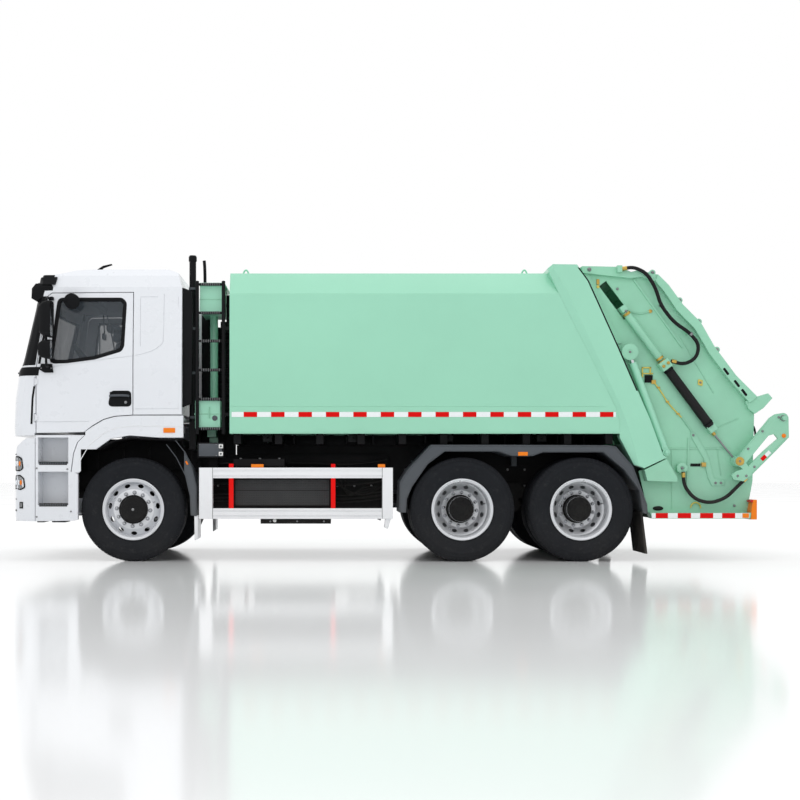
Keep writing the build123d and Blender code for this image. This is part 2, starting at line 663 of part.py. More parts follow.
def make_gate_sides():
    """Side plates of the tailgate with their proud edge flanges."""
    outline = SEAM + GATE_TOP + GATE_REAR + GATE_LOW
    u = slide_dir()
    start = along(SLIDE_TOP, u, -80)
    slot_end = along(start, u, 470)

    def one(s):
        plate = side(outline, *ys(s, GATE_IN, GATE_Y))
        y0, y1 = ys(s, GATE_Y, 1170)
        rim = [(2880, 3206)] + GATE_REAR[:6] + [(3905, 1770), (3690, 2010), (3455, 2320), (3290, 2600), (3095, 2800),
                                               (2945, 3020), (2850, 3130)]
        plate = plate + side(rim, y0, y1)
        plate = plate + side([(2850, 3130), (2880, 3206), (2662, 3255), (2583, 3235), (2459, 3291), (2116, 3299),
                              (2034, 3299), (2040, 3225), (2583, 3165), (2700, 3180)], *ys(s, GATE_Y, 1150))
        plate = plate + side([(2430, 2430), (2110, 3124), (2050, 3225), (2110, 3225), (2486, 2440)],
                             *ys(s, GATE_Y, 1116))
        plate = plate + side([(2712, 1022), (2957, 1144), (3078, 933), (3072, 888), (2743, 899)],
                             *ys(s, GATE_Y, FRAME_Y))
        plate = plate + side([(2800, 480), (3885, 480), (3893, 545), (2772, 545)], *ys(s, GATE_Y, FRAME_Y))
        plate = plate + cross(RAM_TOP[0], RAM_TOP[1], s * GATE_Y, s * 1116, 92)
        plate = plate + cross(3151, 1040, s * GATE_Y, s * 1160, 60)
        plate = plate + cross(ARM_PIVOT[0], ARM_PIVOT[1], s * GATE_Y, s * 1210, 62)
        plate = plate + side(HOOK, *ys(s, GATE_IN, 1150))
        for x, z in EDGE_LUGS:
            plate = plate + cross(x, z, s * GATE_IN, s * 1140, 34)
        plate = plate - cross(ARM_PIVOT[0], ARM_PIVOT[1], s * 1150, s * 1300, 30.05)
        plate = plate - strip(start, slot_end, 100, *ys(s, 1000, 1120))
        plate = plate + hose_blocks(s) + hose_clip(s)
        return plate
    return both(one)


def make_gate_hood():
    """Roof, slanted upper panel and cross beams between the side plates."""
    y = GATE_IN
    roof = side([(2090, 3299), (2459, 3291), (2583, 3235), (2662, 3255), (2880, 3206), (2862, 3172), (2660, 3222),
                 (2583, 3200), (2450, 3258), (2090, 3266)], -y, y)
    panel = side([(2880, 3206), (2999, 3087), (3158, 2869), (3356, 2670), (3515, 2393), (3480, 2380), (3328, 2652),
                  (3132, 2848), (2973, 3066), (2862, 3172)], -y, y)
    lip = side([(3515, 2393), (3560, 2333), (3500, 2290), (3440, 2370), (3480, 2380)], -y, y)
    hood = roof + panel + lip
    px, pz = GATE_PIVOT
    for s in SIDES:
        lug = side([(px - 20, pz - 33), (px + 60, pz - 60), (2110, 3266), (2110, 3299), (px + 20, pz + 35),
                    (px - 20, pz + 33), (px - 38, pz)], *ys(s, 735, 785))
        hood = hood + lug
        hood = hood - cross(px, pz, s * 690, s * 830, 20.05)
    return hood


def make_hopper():
    """Curved loading trough, front wall up to the body sill and rear wall up to the loading edge."""
    y = GATE_IN
    inner = trough(TROUGH_R, -18, 86, 10)
    outer = trough(TROUGH_R + 28, -18, 84, 10)
    front_wall = [(2985, 1150), (2985, 1180), (3010, 1180)]
    ring = front_wall + inner + [(3925, 1640), (3975, 1640), (3957, 1150)] + outer[::-1] + [(2990, 900)]
    tub = side(ring, -y, y)
    base = side([(2830, 480), (3885, 480), (3900, 607), (3800, 700), (3700, 560), (2860, 560)], -y, y)
    keep = side(inner + [BLADE_HINGE], -y - 5, y + 5)
    tub = tub + (base - keep)
    web = bx(3200, 3360, -y, y, 550, BLADE_HINGE[1] - TROUGH_R - 10)
    beam = bx(2830, 2900, -y, y, 560, 800)
    return tub + web + beam


# hose routes on the left side plate, as (x, z) points; the plane is HOSE_Y out from the centre
HOSE_Y = 1184
HOSE_R = 20
HOSES = {
    "upper": [(2470, 3262), (2600, 3285), (2745, 3220), (2850, 3050), (2905, 2860), (3050, 2670), (3230, 2550),
              (3335, 2420), (3305, 2270), (3170, 2195), (3020, 2235)],
    "lower": [(3157, 1000), (3165, 850), (3275, 700), (3450, 648), (3630, 705), (3760, 835), (3870, 940)],
}


def hose(route, s):
    """Round hose along straight runs joined by tangent arcs, in a plane beside the side plate."""
    pts = [Vector(x, s * HOSE_Y, z) for x, z in route]
    radii = []
    for a, b, c in zip(pts, pts[1:], pts[2:]):
        turn = radians((b - a).get_angle(c - b))
        run = min((b - a).length, (c - b).length)
        radii.append(0.45 * run / tan(turn / 2))
    path = FilletPolyline(*pts, radius=radii)
    start = Plane(pts[0], z_dir=pts[1] - pts[0])
    tube = sweep(start * Circle(HOSE_R), path=path)
    return tube - hose_blocks(s)


def make_hoses():
    """Hydraulic hoses on both side plates, held at both ends and clipped between."""
    shapes = []
    for s in SIDES:
        for route in HOSES.values():
            shapes.append(hose(route, s))
    return group(*shapes)


def hose_blocks(s):
    """Blocks on the side plate that the hoses go into."""
    top = bx(2420, 2474, *ys(s, 1140, 1204), 3225, 3300)
    low = bx(3866, 3915, *ys(s, GATE_Y - 1, 1204), 915, 975)
    return top + low


def hose_clip(s):
    """Stand-off clip that holds the upper hose."""
    return bx(3200, 3230, *ys(s, GATE_Y - 1, HOSE_Y - HOSE_R), 2540, 2590)


def make_tail_lamps():
    """Rear lamp at each end of the tailgate's lower rail."""
    def one(s):
        return side([(3893, 470), (3958, 470), (3958, 690), (3906, 690)], *ys(s, 960, 1245)) - \
            side(SEAM + GATE_TOP + GATE_REAR + GATE_LOW, *ys(s, 900, 1251))
    return both(one)


def make_packer_barrels():
    """Packer cylinders on the side plates: sleeve, head block and lower bracket, each side."""
    def one(s):
        u = slide_dir()
        low = SLIDE_LOW
        top = along(low, u, 846)
        at = (low[0], s * SLIDE_Y, low[1])
        end = (top[0], s * SLIDE_Y, top[1])
        sleeve = bar(at, end, 52)
        block = strip(along(low, u, 800), along(low, u, 900), 118, *ys(s, 1101, 1211))
        foot = strip(along(low, u, -70), along(low, u, 10), 90, *ys(s, GATE_Y, 1190))
        mouth = along(low, u, 1000)
        bore = bar((low[0] + u[0] * 60, s * SLIDE_Y, low[1] + u[1] * 60), (mouth[0], s * SLIDE_Y, mouth[1]), 26)
        return sleeve + block + foot - bore
    return both(one)


def make_carriage():
    """Packer carriage between the side plates, its guide lugs and the rods and tubes outside."""
    u = slide_dir()
    n = (-u[1], u[0])
    low = along(BLADE_HINGE, u, 60)

    def at(a, b):
        return (low[0] + u[0] * a + n[0] * b, low[1] + u[1] * a + n[1] * b)
    ring = [at(0, -60), at(130, -190), at(1150, -190), at(1500, -120), at(1500, -30), at(1100, -60), at(200, -60), at(60, 40),
            at(0, 40)]
    body = side(ring, -1055, 1055)
    px, pz = BLADE_HINGE
    for y in (-820, -300, 220, 740):
        lug = strip(BLADE_HINGE, along(BLADE_HINGE, u, 110), 110, y, y + 80) + cross(px, pz, y, y + 80, 55)
        body = body + lug
    body = body - cross(px, pz, -900, 900, 30.05)
    for s in SIDES:
        arm = strip(along(SLIDE_TOP, u, -10), along(SLIDE_TOP, u, 60), 70, *ys(s, 1050, 1205))
        inboard = strip(at(1440, -75), along(SLIDE_TOP, u, 40), 80, *ys(s, 990, 1055))
        rod_low = along(SLIDE_LOW, u, 100)
        rod_top = along(SLIDE_LOW, u, 1610)
        rod = bar((rod_low[0], s * SLIDE_Y, rod_low[1]), (rod_top[0], s * SLIDE_Y, rod_top[1]), 22)
        body = body + arm + inboard + rod
    return body


def make_packer_blade():
    """Packer blade on its hinge below the carriage, with a toothed lower edge."""
    px, pz = BLADE_HINGE
    a = radians(10)
    d = (sin(a), -cos(a))
    n = (cos(a), sin(a))

    def at(r, b):
        return (px + d[0] * r + n[0] * b, pz + d[1] * r + n[1] * b)
    body = side([at(62, -40), at(62, 40), at(300, 75), at(560, 30), at(BLADE_R, 10), at(BLADE_R, -25), at(300, -40)],
                -1050, 1050)
    for y in (-737, -217, 303, 657, -905):
        lug = strip(BLADE_HINGE, at(120, 0), 90, y, y + 74) + cross(px, pz, y, y + 74, 45)
        body = body + lug
    pin = cross(px, pz, -905, 905, 30)
    return body + pin


def ram_barrel(s):
    """Lift ram barrel with its lower eye."""
    rx, rz = RAM_LOW
    dx, dz = RAM_TOP[0] - rx, RAM_TOP[1] - rz
    run = hypot(dx, dz)
    u = (dx / run, dz / run)
    low = along(RAM_LOW, u, 45)
    top = along(RAM_LOW, u, run - 125)
    y = s * RAM_Y
    barrel = bar((low[0], y, low[1]), (top[0], y, top[1]), 41)
    eye = cross(rx, rz, s * 1125, s * 1205, 42)
    neck = strip(RAM_LOW, along(RAM_LOW, u, 80), 60, *ys(s, 1128, 1202))
    bore_low = along(RAM_LOW, u, 62)
    bore_top = along(RAM_LOW, u, run)
    bore = bar((bore_low[0], y, bore_low[1]), (bore_top[0], y, bore_top[1]), 27)
    return barrel + eye + neck - bore - cross(rx, rz, s * 1100, s * 1300, 20.05)


def ram_rod(s):
    """Lift ram rod with its upper eye and cover disc."""
    rx, rz = RAM_LOW
    dx, dz = RAM_TOP[0] - rx, RAM_TOP[1] - rz
    run = hypot(dx, dz)
    u = (dx / run, dz / run)
    low = along(RAM_LOW, u, 70)
    y = s * RAM_Y
    rod = bar((low[0], y, low[1]), (RAM_TOP[0], y, RAM_TOP[1]), 24)
    eye = cross(RAM_TOP[0], RAM_TOP[1], s * 1122, s * 1208, 46)
    disc = cross(RAM_TOP[0], RAM_TOP[1], s * 1208, s * 1224, 88)
    return rod + eye + disc


def make_lifter_arms():
    """Bin lifter arms outside the side plates: two bars and a hooked end plate each side."""
    ring = [(3712, 1106), (3745, 1165), (4100, 1600), (4160, 1640), (4249, 1654), (4308, 1606), (4313, 1383), (4169, 1234),
            (3893, 958), (3808, 894), (3700, 915), (3680, 960), (3723, 1005), (3800, 1030)]
    gap = [(3838, 1100), (4085, 1400), (4150, 1420), (4190, 1370), (4042, 1240), (3860, 1060)]

    def one(s):
        y0, y1 = ys(s, *ARM_Y)
        arm = side(ring, y0, y1) - side(gap, *ys(s, 1200, 1260))
        arm = arm + cross(ARM_PIVOT[0], ARM_PIVOT[1], s * 1216, s * 1250, 58)
        arm = arm + cross(ARM_PIVOT[0], ARM_PIVOT[1], s * 1156, s * 1256, 30)
        arm = arm + cross(BIN_PIN[0], BIN_PIN[1], s * 1216, s * 1250, 58)
        arm = arm + cross(BIN_PIN[0], BIN_PIN[1], s * 1240, s * 1310, 25)
        return arm
    return both(one)


# =====================================================================
# wheels and knuckles
# =====================================================================

def turned(points, x, y, s):
    """Ring about a crosswise axis at (x, y): points are (radius, outward offset)."""
    face = make_face(Polyline(*[(r, s * o) for r, o in points], close=True))
    return Pos(x, y, AXLE_Z) * revolve(face, Axis.Y, 360)


TYRE_RING = [(322, -112), (348, -122), (450, -147), (550, -140), (TYRE_R, -118), (TYRE_R, 118), (550, 140), (450, 147),
             (348, 122), (322, 112)]
RIM_RING = [(300, -137), (345, -137), (345, -127), (321, -124), (321, 124), (345, 127), (345, 137), (300, 137)]


def make_front_tyre(s):
    """Front tyre."""
    return turned(TYRE_RING, X_FRONT_AXLE, s * Y_FRONT_TYRE, s)


def vents(x, y0, y1, count, pitch, r):
    """Ring of round holes through a wheel disc."""
    tool = None
    for i in range(count):
        a = 2 * pi * (i + 0.5) / count
        hole = cross(x + pitch * cos(a), AXLE_Z + pitch * sin(a), y0, y1, r)
        tool = hole if tool is None else tool + hole
    return tool


def make_front_wheel(s):
    """Front rim, disc with vents, hub and brake drum."""
    x, y = X_FRONT_AXLE, s * Y_FRONT_TYRE
    rim = turned(RIM_RING, x, y, s)
    disc = turned([(60, 86), (188, 86), (250, 58), (302, 30), (302, 46), (256, 76), (194, 102), (60, 102)], x, y, s)
    disc = disc - vents(x, s * 1060, s * 1180, 12, 236, 27)
    hub = turned([(40.05, -60), (120, -60), (120, 86), (40.05, 86)], x, y, s)
    cap = turned([(0, 112), (40.05, 112), (40.05, 86), (160, 86), (160, 118), (130, 148), (0, 156)], x, y, s)
    drum = turned([(120, -40), (205, -40), (205, 40), (190, 40), (190, -25), (120, -25)], x, y, s)
    return rim + disc + hub + cap + drum


def make_rear_tyres(x, s):
    """Twin tyres."""
    return Compound(children=solids_of(turned(TYRE_RING, x, s * Y_TWIN[0], s)) +
                    solids_of(turned(TYRE_RING, x, s * Y_TWIN[1], s)))


def make_rear_wheel(x, s):
    """Twin rims and discs, hub and brake drum."""
    inner = turned(RIM_RING, x, s * Y_TWIN[0], s)
    inner = inner + turned([(60, 138), (186, 138), (254, 104), (302, 74), (302, 90), (260, 120), (190, 152), (60, 152)],
                           x, s * Y_TWIN[0], s)
    outer = turned(RIM_RING, x, s * Y_TWIN[1], s)
    outer = outer + turned([(60, -152), (190, -152), (260, -120), (302, -90), (302, -74), (254, -104), (186, -138),
                            (60, -138)], x, s * Y_TWIN[1], s)
    outer = outer - vents(x, s * 930, s * 1050, 12, 252, 24)
    hub = turned([(50.05, -150), (185, -150), (185, -15), (140, -15), (140, 188), (120, 205), (0, 205), (0, 190),
                  (50.05, 190)], x, s * 925, s)
    drum = turned([(185, -290), (210, -290), (210, -60), (185, -40)], x, s * 925, s)
    return inner + outer + hub + drum


def make_knuckle(s):
    """Steering knuckle: forked lugs on the kingpin and the wheel spindle."""
    x, k = X_FRONT_AXLE, s * Y_KINGPIN
    lugs = None
    for z0, z1 in ((485, 515), (645, 675)):
        lug = bx(x - 48, x + 48, *ys(s, 835, 965), z0, z1)
        lugs = lug if lugs is None else lugs + lug
    plate = bx(x - 48, x + 48, *ys(s, 941, 975), 485, 675)
    pin = Pos(x, k, 580) * Cylinder(25, 190)
    spindle = cross(x, AXLE_Z, s * 970, s * 1155, 40)
    collar = cross(x, AXLE_Z, s * 970, s * 980, 60)
    arm = bx(x + 48, x + 190, *ys(s, 850, 890), 485, 510)
    return lugs + plate + pin + spindle + collar + arm


# =====================================================================
# files
# =====================================================================

def save(name, shape):
    """Write one named piece."""
    solids = solids_of(shape)
    piece = solids[0] if len(solids) == 1 else Compound(children=solids)
    export_step(piece, "parts/" + name + ".step")
    print(name, len(solids))


def group(*shapes):
    """Several pieces that don't touch, as one node."""
    return Compound(children=[x for shape in shapes for x in solids_of(shape)])


os.makedirs("parts", exist_ok=True)
x1, x2 = X_REAR_AXLES
PIECES = {
    "frame_rails": make_frame_rails, "subframe": make_subframe, "front_axle": make_front_axle,
    "leaf_springs": lambda: group(make_front_springs(), make_rear_springs()),
    "rear_axles": lambda: group(make_rear_axle(x1), make_rear_axle(x2)),
    "powertrain": lambda: group(make_engine() + make_driveline()),
    "tanks": lambda: group(make_fuel_tank(), make_air_tanks()),
    "side_boxes": lambda: group(make_battery_box(), make_control_box()),
    "bumper": make_bumper, "headlamps": make_headlamps, "cab_steps": make_cab_steps,
    "mudguards": lambda: group(make_front_mudguards(), make_rear_mudguards()),
    "mud_flaps": make_mud_flaps, "side_guards": make_side_guards, "guard_posts": make_guard_posts,
    "ladder": make_ladder, "intake_stack": make_intake_stack, "hydraulic_tanks": make_hydraulic_tanks,
    "rear_cabinet": make_rear_cabinet,
    "dash": lambda: group(make_dash(), make_steering_wheel()),
    "seats": make_seats, "cab_extenders": make_cab_extenders,
    "body_shell": make_body_shell, "rear_frame": make_rear_frame, "ejector": make_ejector,
    "gate_sides": make_gate_sides, "gate_hood": make_gate_hood, "hopper": make_hopper, "tail_lamps": make_tail_lamps,
    "hoses": make_hoses, "packer_barrels": make_packer_barrels, "packer_carriage": make_carriage, "packer_blade": make_packer_blade,
    "lifter_arms": make_lifter_arms, "ram_barrels": lambda: both(ram_barrel), "ram_rods": lambda: both(ram_rod),
}
for name, make in PIECES.items():
    save(name, make())
for name, shape in make_cab().items():
    save(name, shape)
for side_name, s in (("left", -1), ("right", 1)):
    save("mirror_" + side_name, make_mirror(s))
    save("knuckle_" + side_name, make_knuckle(s))
    save("tyre_front_" + side_name, make_front_tyre(s))
    save("wheel_front_" + side_name, make_front_wheel(s))
    for i, x in enumerate(X_REAR_AXLES):
        save("tyres_rear_%d_%s" % (i + 1, side_name), make_rear_tyres(x, s))
        save("wheel_rear_%d_%s" % (i + 1, side_name), make_rear_wheel(x, s))
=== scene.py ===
"""Garbage truck: paint, glass, tyres, trim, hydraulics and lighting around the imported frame."""

import math

import bmesh
import bpy
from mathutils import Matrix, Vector


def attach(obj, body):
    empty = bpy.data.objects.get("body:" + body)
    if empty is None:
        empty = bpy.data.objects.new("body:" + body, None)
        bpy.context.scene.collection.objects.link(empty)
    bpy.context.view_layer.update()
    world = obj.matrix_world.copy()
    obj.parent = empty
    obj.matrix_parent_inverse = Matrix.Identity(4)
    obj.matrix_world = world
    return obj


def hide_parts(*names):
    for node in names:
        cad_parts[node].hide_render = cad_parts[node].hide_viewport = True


bl_info = {
    "name": "Garbage Truck Finish",
    "version": (1, 0, 0),
    "blender": (4, 5, 0),
    "location": "View3D > Sidebar > Truck",
    "description": "Paint, glass, tyres, trim, hydraulics and seats of a rear-loading garbage truck",
    "category": "Object",
}

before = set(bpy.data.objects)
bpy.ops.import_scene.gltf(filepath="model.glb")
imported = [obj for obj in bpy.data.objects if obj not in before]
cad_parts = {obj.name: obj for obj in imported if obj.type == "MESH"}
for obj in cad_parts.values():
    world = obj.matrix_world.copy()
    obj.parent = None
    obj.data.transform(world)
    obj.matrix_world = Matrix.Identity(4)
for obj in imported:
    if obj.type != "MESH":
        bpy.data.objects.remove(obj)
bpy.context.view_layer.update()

# ---- main stations of the truck, in metres ----
FRONT_AXLE_X = -2.978
REAR_AXLES_X = (0.69, 2.01)
AXLE_Z = 0.58
FRONT_TYRE_Y = 1.045
TWIN_Y = (0.757, 1.092)
SIDES = (("left", -1), ("right", 1))
SHARP = 35  # angle in degrees over which an edge is shaded sharp

# ---- directions: out of the left side, up, and towards the rear ----
OUT = (0, -1, 0)
UP = (0, 0, 1)
REAR = (1, 0, 0)


# ---- mesh tools ----

class Form:
    """Closed shapes gathered into one mesh, in metres, with a material number on each."""

    def __init__(self):
        self.verts = []
        self.faces = []
        self.marks = []

    def add(self, verts, faces, mark=0):
        """Adds one closed shape."""
        start = len(self.verts)
        self.verts += [tuple(v) for v in verts]
        self.faces += [tuple(start + i for i in face) for face in faces]
        self.marks += [mark] * len(faces)

    def absorb(self, mesh, mark=0):
        """Adds a finished bmesh."""
        mesh.verts.index_update()
        self.add([v.co for v in mesh.verts], [[v.index for v in f.verts] for f in mesh.faces], mark)
        mesh.free()

    def block(self, low, high, bevel=0.0, mark=0):
        """Box between two corners, its edges rounded by bevel."""
        mesh = bmesh.new()
        bmesh.ops.create_cube(mesh, size=1)
        size = [b - a for a, b in zip(low, high)]
        bmesh.ops.scale(mesh, vec=size, verts=mesh.verts)
        if bevel:
            reach = min(bevel, 0.45 * min(abs(v) for v in size))
            bmesh.ops.bevel(mesh, geom=mesh.edges[:], offset=reach, segments=2, affect="EDGES", profile=0.5)
        bmesh.ops.translate(mesh, vec=[(a + b) / 2 for a, b in zip(low, high)], verts=mesh.verts)
        self.absorb(mesh, mark)

    def slab(self, outline, base, u, v, depth, bevel=0.0, mark=0, segments=2):
        """Outline of (a, b) points on axes u and v from base, pushed by the vector depth, edges rounded."""
        mesh = bmesh.new()
        base, u, v, depth = Vector(base), Vector(u), Vector(v), Vector(depth)
        low = [mesh.verts.new(base + u * a + v * b) for a, b in outline]
        high = [mesh.verts.new(vert.co + depth) for vert in low]
        count = len(low)
        mesh.faces.new(low)
        mesh.faces.new(high[::-1])
        for i in range(count):
            mesh.faces.new((low[i], high[i], high[(i + 1) % count], low[(i + 1) % count]))
        bmesh.ops.recalc_face_normals(mesh, faces=mesh.faces)
        if bevel:
            rim = [e for e in mesh.edges if abs((e.verts[0].co - e.verts[1].co).normalized().dot(
                depth.normalized())) < 0.5]
            bmesh.ops.bevel(mesh, geom=rim, offset=bevel, segments=segments, affect="EDGES", profile=0.5,
                clamp_overlap=True)
        self.absorb(mesh, mark)

    def side_slab(self, outline, y0, y1, bevel=0.0, mark=0, segments=2):
        """Side outline of (x, z) points between two y values."""
        self.slab(outline, (0, y0, 0), REAR, UP, (0, y1 - y0, 0), bevel, mark, segments)

    def lathe(self, profile, centre, axis, steps=32, mark=0):
        """Ring of (radius, height) points turned about an axis; one that starts and ends on the axis is capped."""
        axis = Vector(axis).normalized()
        ref = Vector(UP)
        if abs(axis.dot(ref)) > 0.99:
            ref = Vector(REAR)
        u = (ref - axis * ref.dot(axis)).normalized()
        v = axis.cross(u)
        centre = Vector(centre)
        verts, rings = [], []
        for r, h in profile:
            if r < 1e-6:
                rings.append([len(verts)])
                verts.append(centre + axis * h)
                continue
            rings.append(list(range(len(verts), len(verts) + steps)))
            for i in range(steps):
                a = 2 * math.pi * i / steps
                verts.append(centre + axis * h + (u * math.cos(a) + v * math.sin(a)) * r)
        closed = profile[0][0] > 1e-6 and profile[-1][0] > 1e-6
        pairs = list(zip(rings, rings[1:]))
        if closed:
            pairs.append((rings[-1], rings[0]))
        faces = []
        for low, high in pairs:
            for i in range(steps):
                j = (i + 1) % steps
                if len(low) == 1 and len(high) == 1:
                    break
                if len(low) == 1:
                    faces.append((low[0], high[j], high[i]))
                elif len(high) == 1:
                    faces.append((low[i], low[j], high[0]))
                else:
                    faces.append((low[i], low[j], high[j], high[i]))
        mesh = bmesh.new()
        made = [mesh.verts.new(p) for p in verts]
        for face in faces:
            mesh.faces.new([made[i] for i in face])
        bmesh.ops.recalc_face_normals(mesh, faces=mesh.faces)
        self.absorb(mesh, mark)

    def tube(self, inner, outer, low, high, centre, axis, steps=32, mark=0):
        """Straight tube between two heights on an axis, solid where the inner radius is 0."""
        self.lathe([(inner, low), (outer, low), (outer, high), (inner, high)], centre, axis, steps, mark)

    def knob(self, profile, centre, axis, steps=32, mark=0):
        """Solid turned shape of (radius, height) points, closed flat to the axis at both ends."""
        self.lathe([(0, profile[0][1]), *profile, (0, profile[-1][1])], centre, axis, steps, mark)

    def rod(self, p, q, r, steps=16, mark=0, bevel=0.0):
        """Round bar from p to q, its ends eased by bevel."""
        p, q = Vector(p), Vector(q)
        length = (q - p).length
        b = min(bevel, r * 0.5, length * 0.4)
        side = [(r - b, 0), (r, b), (r, length - b), (r - b, length)] if b else [(r, 0), (r, length)]
        self.lathe([(0, 0), *side, (0, length)], p, q - p, steps, mark)

    def hexagon(self, centre, axis, across, height, mark=0):
        """Hexagon head with eased corners, standing on centre."""
        r = across / math.sqrt(3)
        self.knob([(r, 0), (r, height * 0.8), (r * 0.82, height)], centre, axis, 6, mark)

    def bolt(self, centre, axis, size, mark=0):
        """Washer, hexagon head and thread end."""
        axis = Vector(axis).normalized()
        centre = Vector(centre)
        self.tube(0, size * 1.15, 0, size * 0.18, centre, axis, 16, mark)
        self.hexagon(centre + axis * size * 0.18, axis, size * 1.7, size * 0.75, mark)
        self.lathe([(0, 0), (size * 0.5, 0), (size * 0.42, size * 0.3), (0, size * 0.3)], centre + axis * size * 0.93,
            axis, 10, mark)

    def pipe(self, points, r, steps=12, mark=0, smooth=True, grain=10):
        """Bent tube of radius r along the points, rounded as a NURBS line when smooth."""
        path = nurbs_points(points, grain) if smooth else [Vector(p) for p in points]
        path = [p for i, p in enumerate(path) if i == 0 or (p - path[i - 1]).length > 1e-4]
        tangents = []
        for i in range(len(path)):
            a = path[max(i - 1, 0)]
            b = path[min(i + 1, len(path) - 1)]
            tangents.append((b - a).normalized())
        ref = Vector(UP) if abs(tangents[0].z) < 0.9 else Vector(REAR)
        normal = (ref - tangents[0] * ref.dot(tangents[0])).normalized()
        verts, faces = [], []
        for i, p in enumerate(path):
            if i:
                normal = (normal - tangents[i] * normal.dot(tangents[i])).normalized()
            other = tangents[i].cross(normal)
            for k in range(steps):
                a = 2 * math.pi * k / steps
                verts.append(p + (normal * math.cos(a) + other * math.sin(a)) * r)
        for i in range(len(path) - 1):
            for k in range(steps):
                a, b = i * steps + k, i * steps + (k + 1) % steps
                faces.append((a, b, b + steps, a + steps))
        faces.append(tuple(range(steps))[::-1])
        last = (len(path) - 1) * steps
        faces.append(tuple(range(last, last + steps)))
        self.add(verts, faces, mark)

    def ball(self, centre, radii, mark=0, steps=16):
        """Ellipsoid with radii along x, y and z."""
        mesh = bmesh.new()
        bmesh.ops.create_uvsphere(mesh, u_segments=steps, v_segments=max(6, steps // 2), radius=1)
        bmesh.ops.scale(mesh, vec=radii, verts=mesh.verts)
        bmesh.ops.translate(mesh, vec=centre, verts=mesh.verts)
        self.absorb(mesh, mark)

    def mirror(self):
        """Adds the mirror image across the truck's centre plane."""
        start = len(self.verts)
        count = len(self.faces)
        self.verts += [(x, -y, z) for x, y, z in self.verts]
        self.faces += [tuple(start + i for i in face[::-1]) for face in self.faces[:count]]
        self.marks += self.marks[:count]

    def object(self, name, finishes, sharp=SHARP):
        """The mesh as an object with its finishes, named in the order of the marks, and smooth up to a sharp angle."""
        mesh = bpy.data.meshes.new(name)
        mesh.from_pydata(self.verts, [], self.faces)
        mesh.polygons.foreach_set("material_index", self.marks)
        work = bmesh.new()
        work.from_mesh(mesh)
        bmesh.ops.recalc_face_normals(work, faces=work.faces)
        work.to_mesh(mesh)
        work.free()
        mesh.validate()
        mesh.shade_smooth()
        mesh.set_sharp_from_angle(angle=math.radians(sharp))
        for finish_name in finishes.split():
            mesh.materials.append(MATERIALS[finish_name])
        return placed(name, mesh)


def placed(name, data):
    """New object in the scene with the given data."""
    thing = bpy.data.objects.new(name, data)
    bpy.context.scene.collection.objects.link(thing)
    return thing


def removed(thing):
    """Takes an object and its mesh away."""
    mesh = thing.data
    bpy.data.objects.remove(thing)
    bpy.data.meshes.remove(mesh)


def evaluated_mesh(thing):
    """New mesh with what the object's modifiers or curve settings give."""
    bpy.context.view_layer.update()
    return bpy.data.meshes.new_from_object(thing.evaluated_get(bpy.context.evaluated_depsgraph_get()))


def replace_mesh(thing):
    """Puts the mesh that the modifiers give in place of the object's own."""
    mesh = evaluated_mesh(thing)
    thing.modifiers.clear()
    old = thing.data
    thing.data = mesh
    bpy.data.meshes.remove(old)


def nurbs_points(points, grain=10):
    """Points of the NURBS line that has the given points as its control points."""
    curve = bpy.data.curves.new("line", "CURVE")
    curve.dimensions = "3D"
    curve.resolution_u = grain
    spline = curve.splines.new("NURBS")
    spline.points.add(len(points) - 1)
    for point, place in zip(spline.points, points):
        point.co = (*place, 1)
    spline.order_u = 3
    spline.use_endpoint_u = True
    holder = placed("line", curve)
    mesh = evaluated_mesh(holder)
    path = [v.co.copy() for v in mesh.vertices]
    bpy.data.objects.remove(holder)
    bpy.data.curves.remove(curve)
    bpy.data.meshes.remove(mesh)
    return path


def fit(thing, body, slot, *replaced):
    """Puts a piece on its body and hides the CAD nodes that it stands for; the slot argument is not used."""
    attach(thing, body)
    if replaced:
        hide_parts(*replaced)
    return thing


# ---- the cab's outer face, and outlines ----

# outline of the cab from above, from the left side round the face to the right, and how it changes with height
HALF_PLAN = [(-2.0, -1.245), (-4.09, -1.245), (-4.21, -1.225), (-4.288, -1.17), (-4.325, -1.08), (-4.345, -0.9),
    (-4.358, -0.45)]
PLAN = HALF_PLAN + [(x, -y) for x, y in HALF_PLAN[::-1]]
SET_BACK = [(1.38, 0.008), (1.492, 0.0), (1.821, 0.014), (2.026, 0.045), (2.129, 0.055), (2.211, 0.102), (2.94, 0.271),
    (3.34, 0.365)]
LEAN = [(1.3, 1.245), (2.15, 1.245), (3.06, 1.192), (3.19, 1.15), (3.275, 1.05), (3.32, 0.8)]
LENGTHS = [math.dist(a, b) for a, b in zip(PLAN, PLAN[1:])]
AROUND = sum(LENGTHS[1:-1])


def table(rows, z):
    """Value at z in a table of (z, value) rows."""
    if z <= rows[0][0]:
        return rows[0][1]
    for (z0, a), (z1, b) in zip(rows, rows[1:]):
        if z <= z1:
            return a + (b - a) * (z - z0) / (z1 - z0)
    return rows[-1][1]


def run_at(x, z):
    """Distance along the plan from the left corner to the point of the left side at x."""
    x -= table(SET_BACK, z)
    if x >= PLAN[1][0]:
        return PLAN[1][0] - x
    total = 0.0
    for (a, b), length in zip(zip(PLAN[1:6], PLAN[2:7]), LENGTHS[1:6]):
        if x >= b[0]:
            return total + length * (a[0] - x) / (a[0] - b[0])
        total += length
    return total


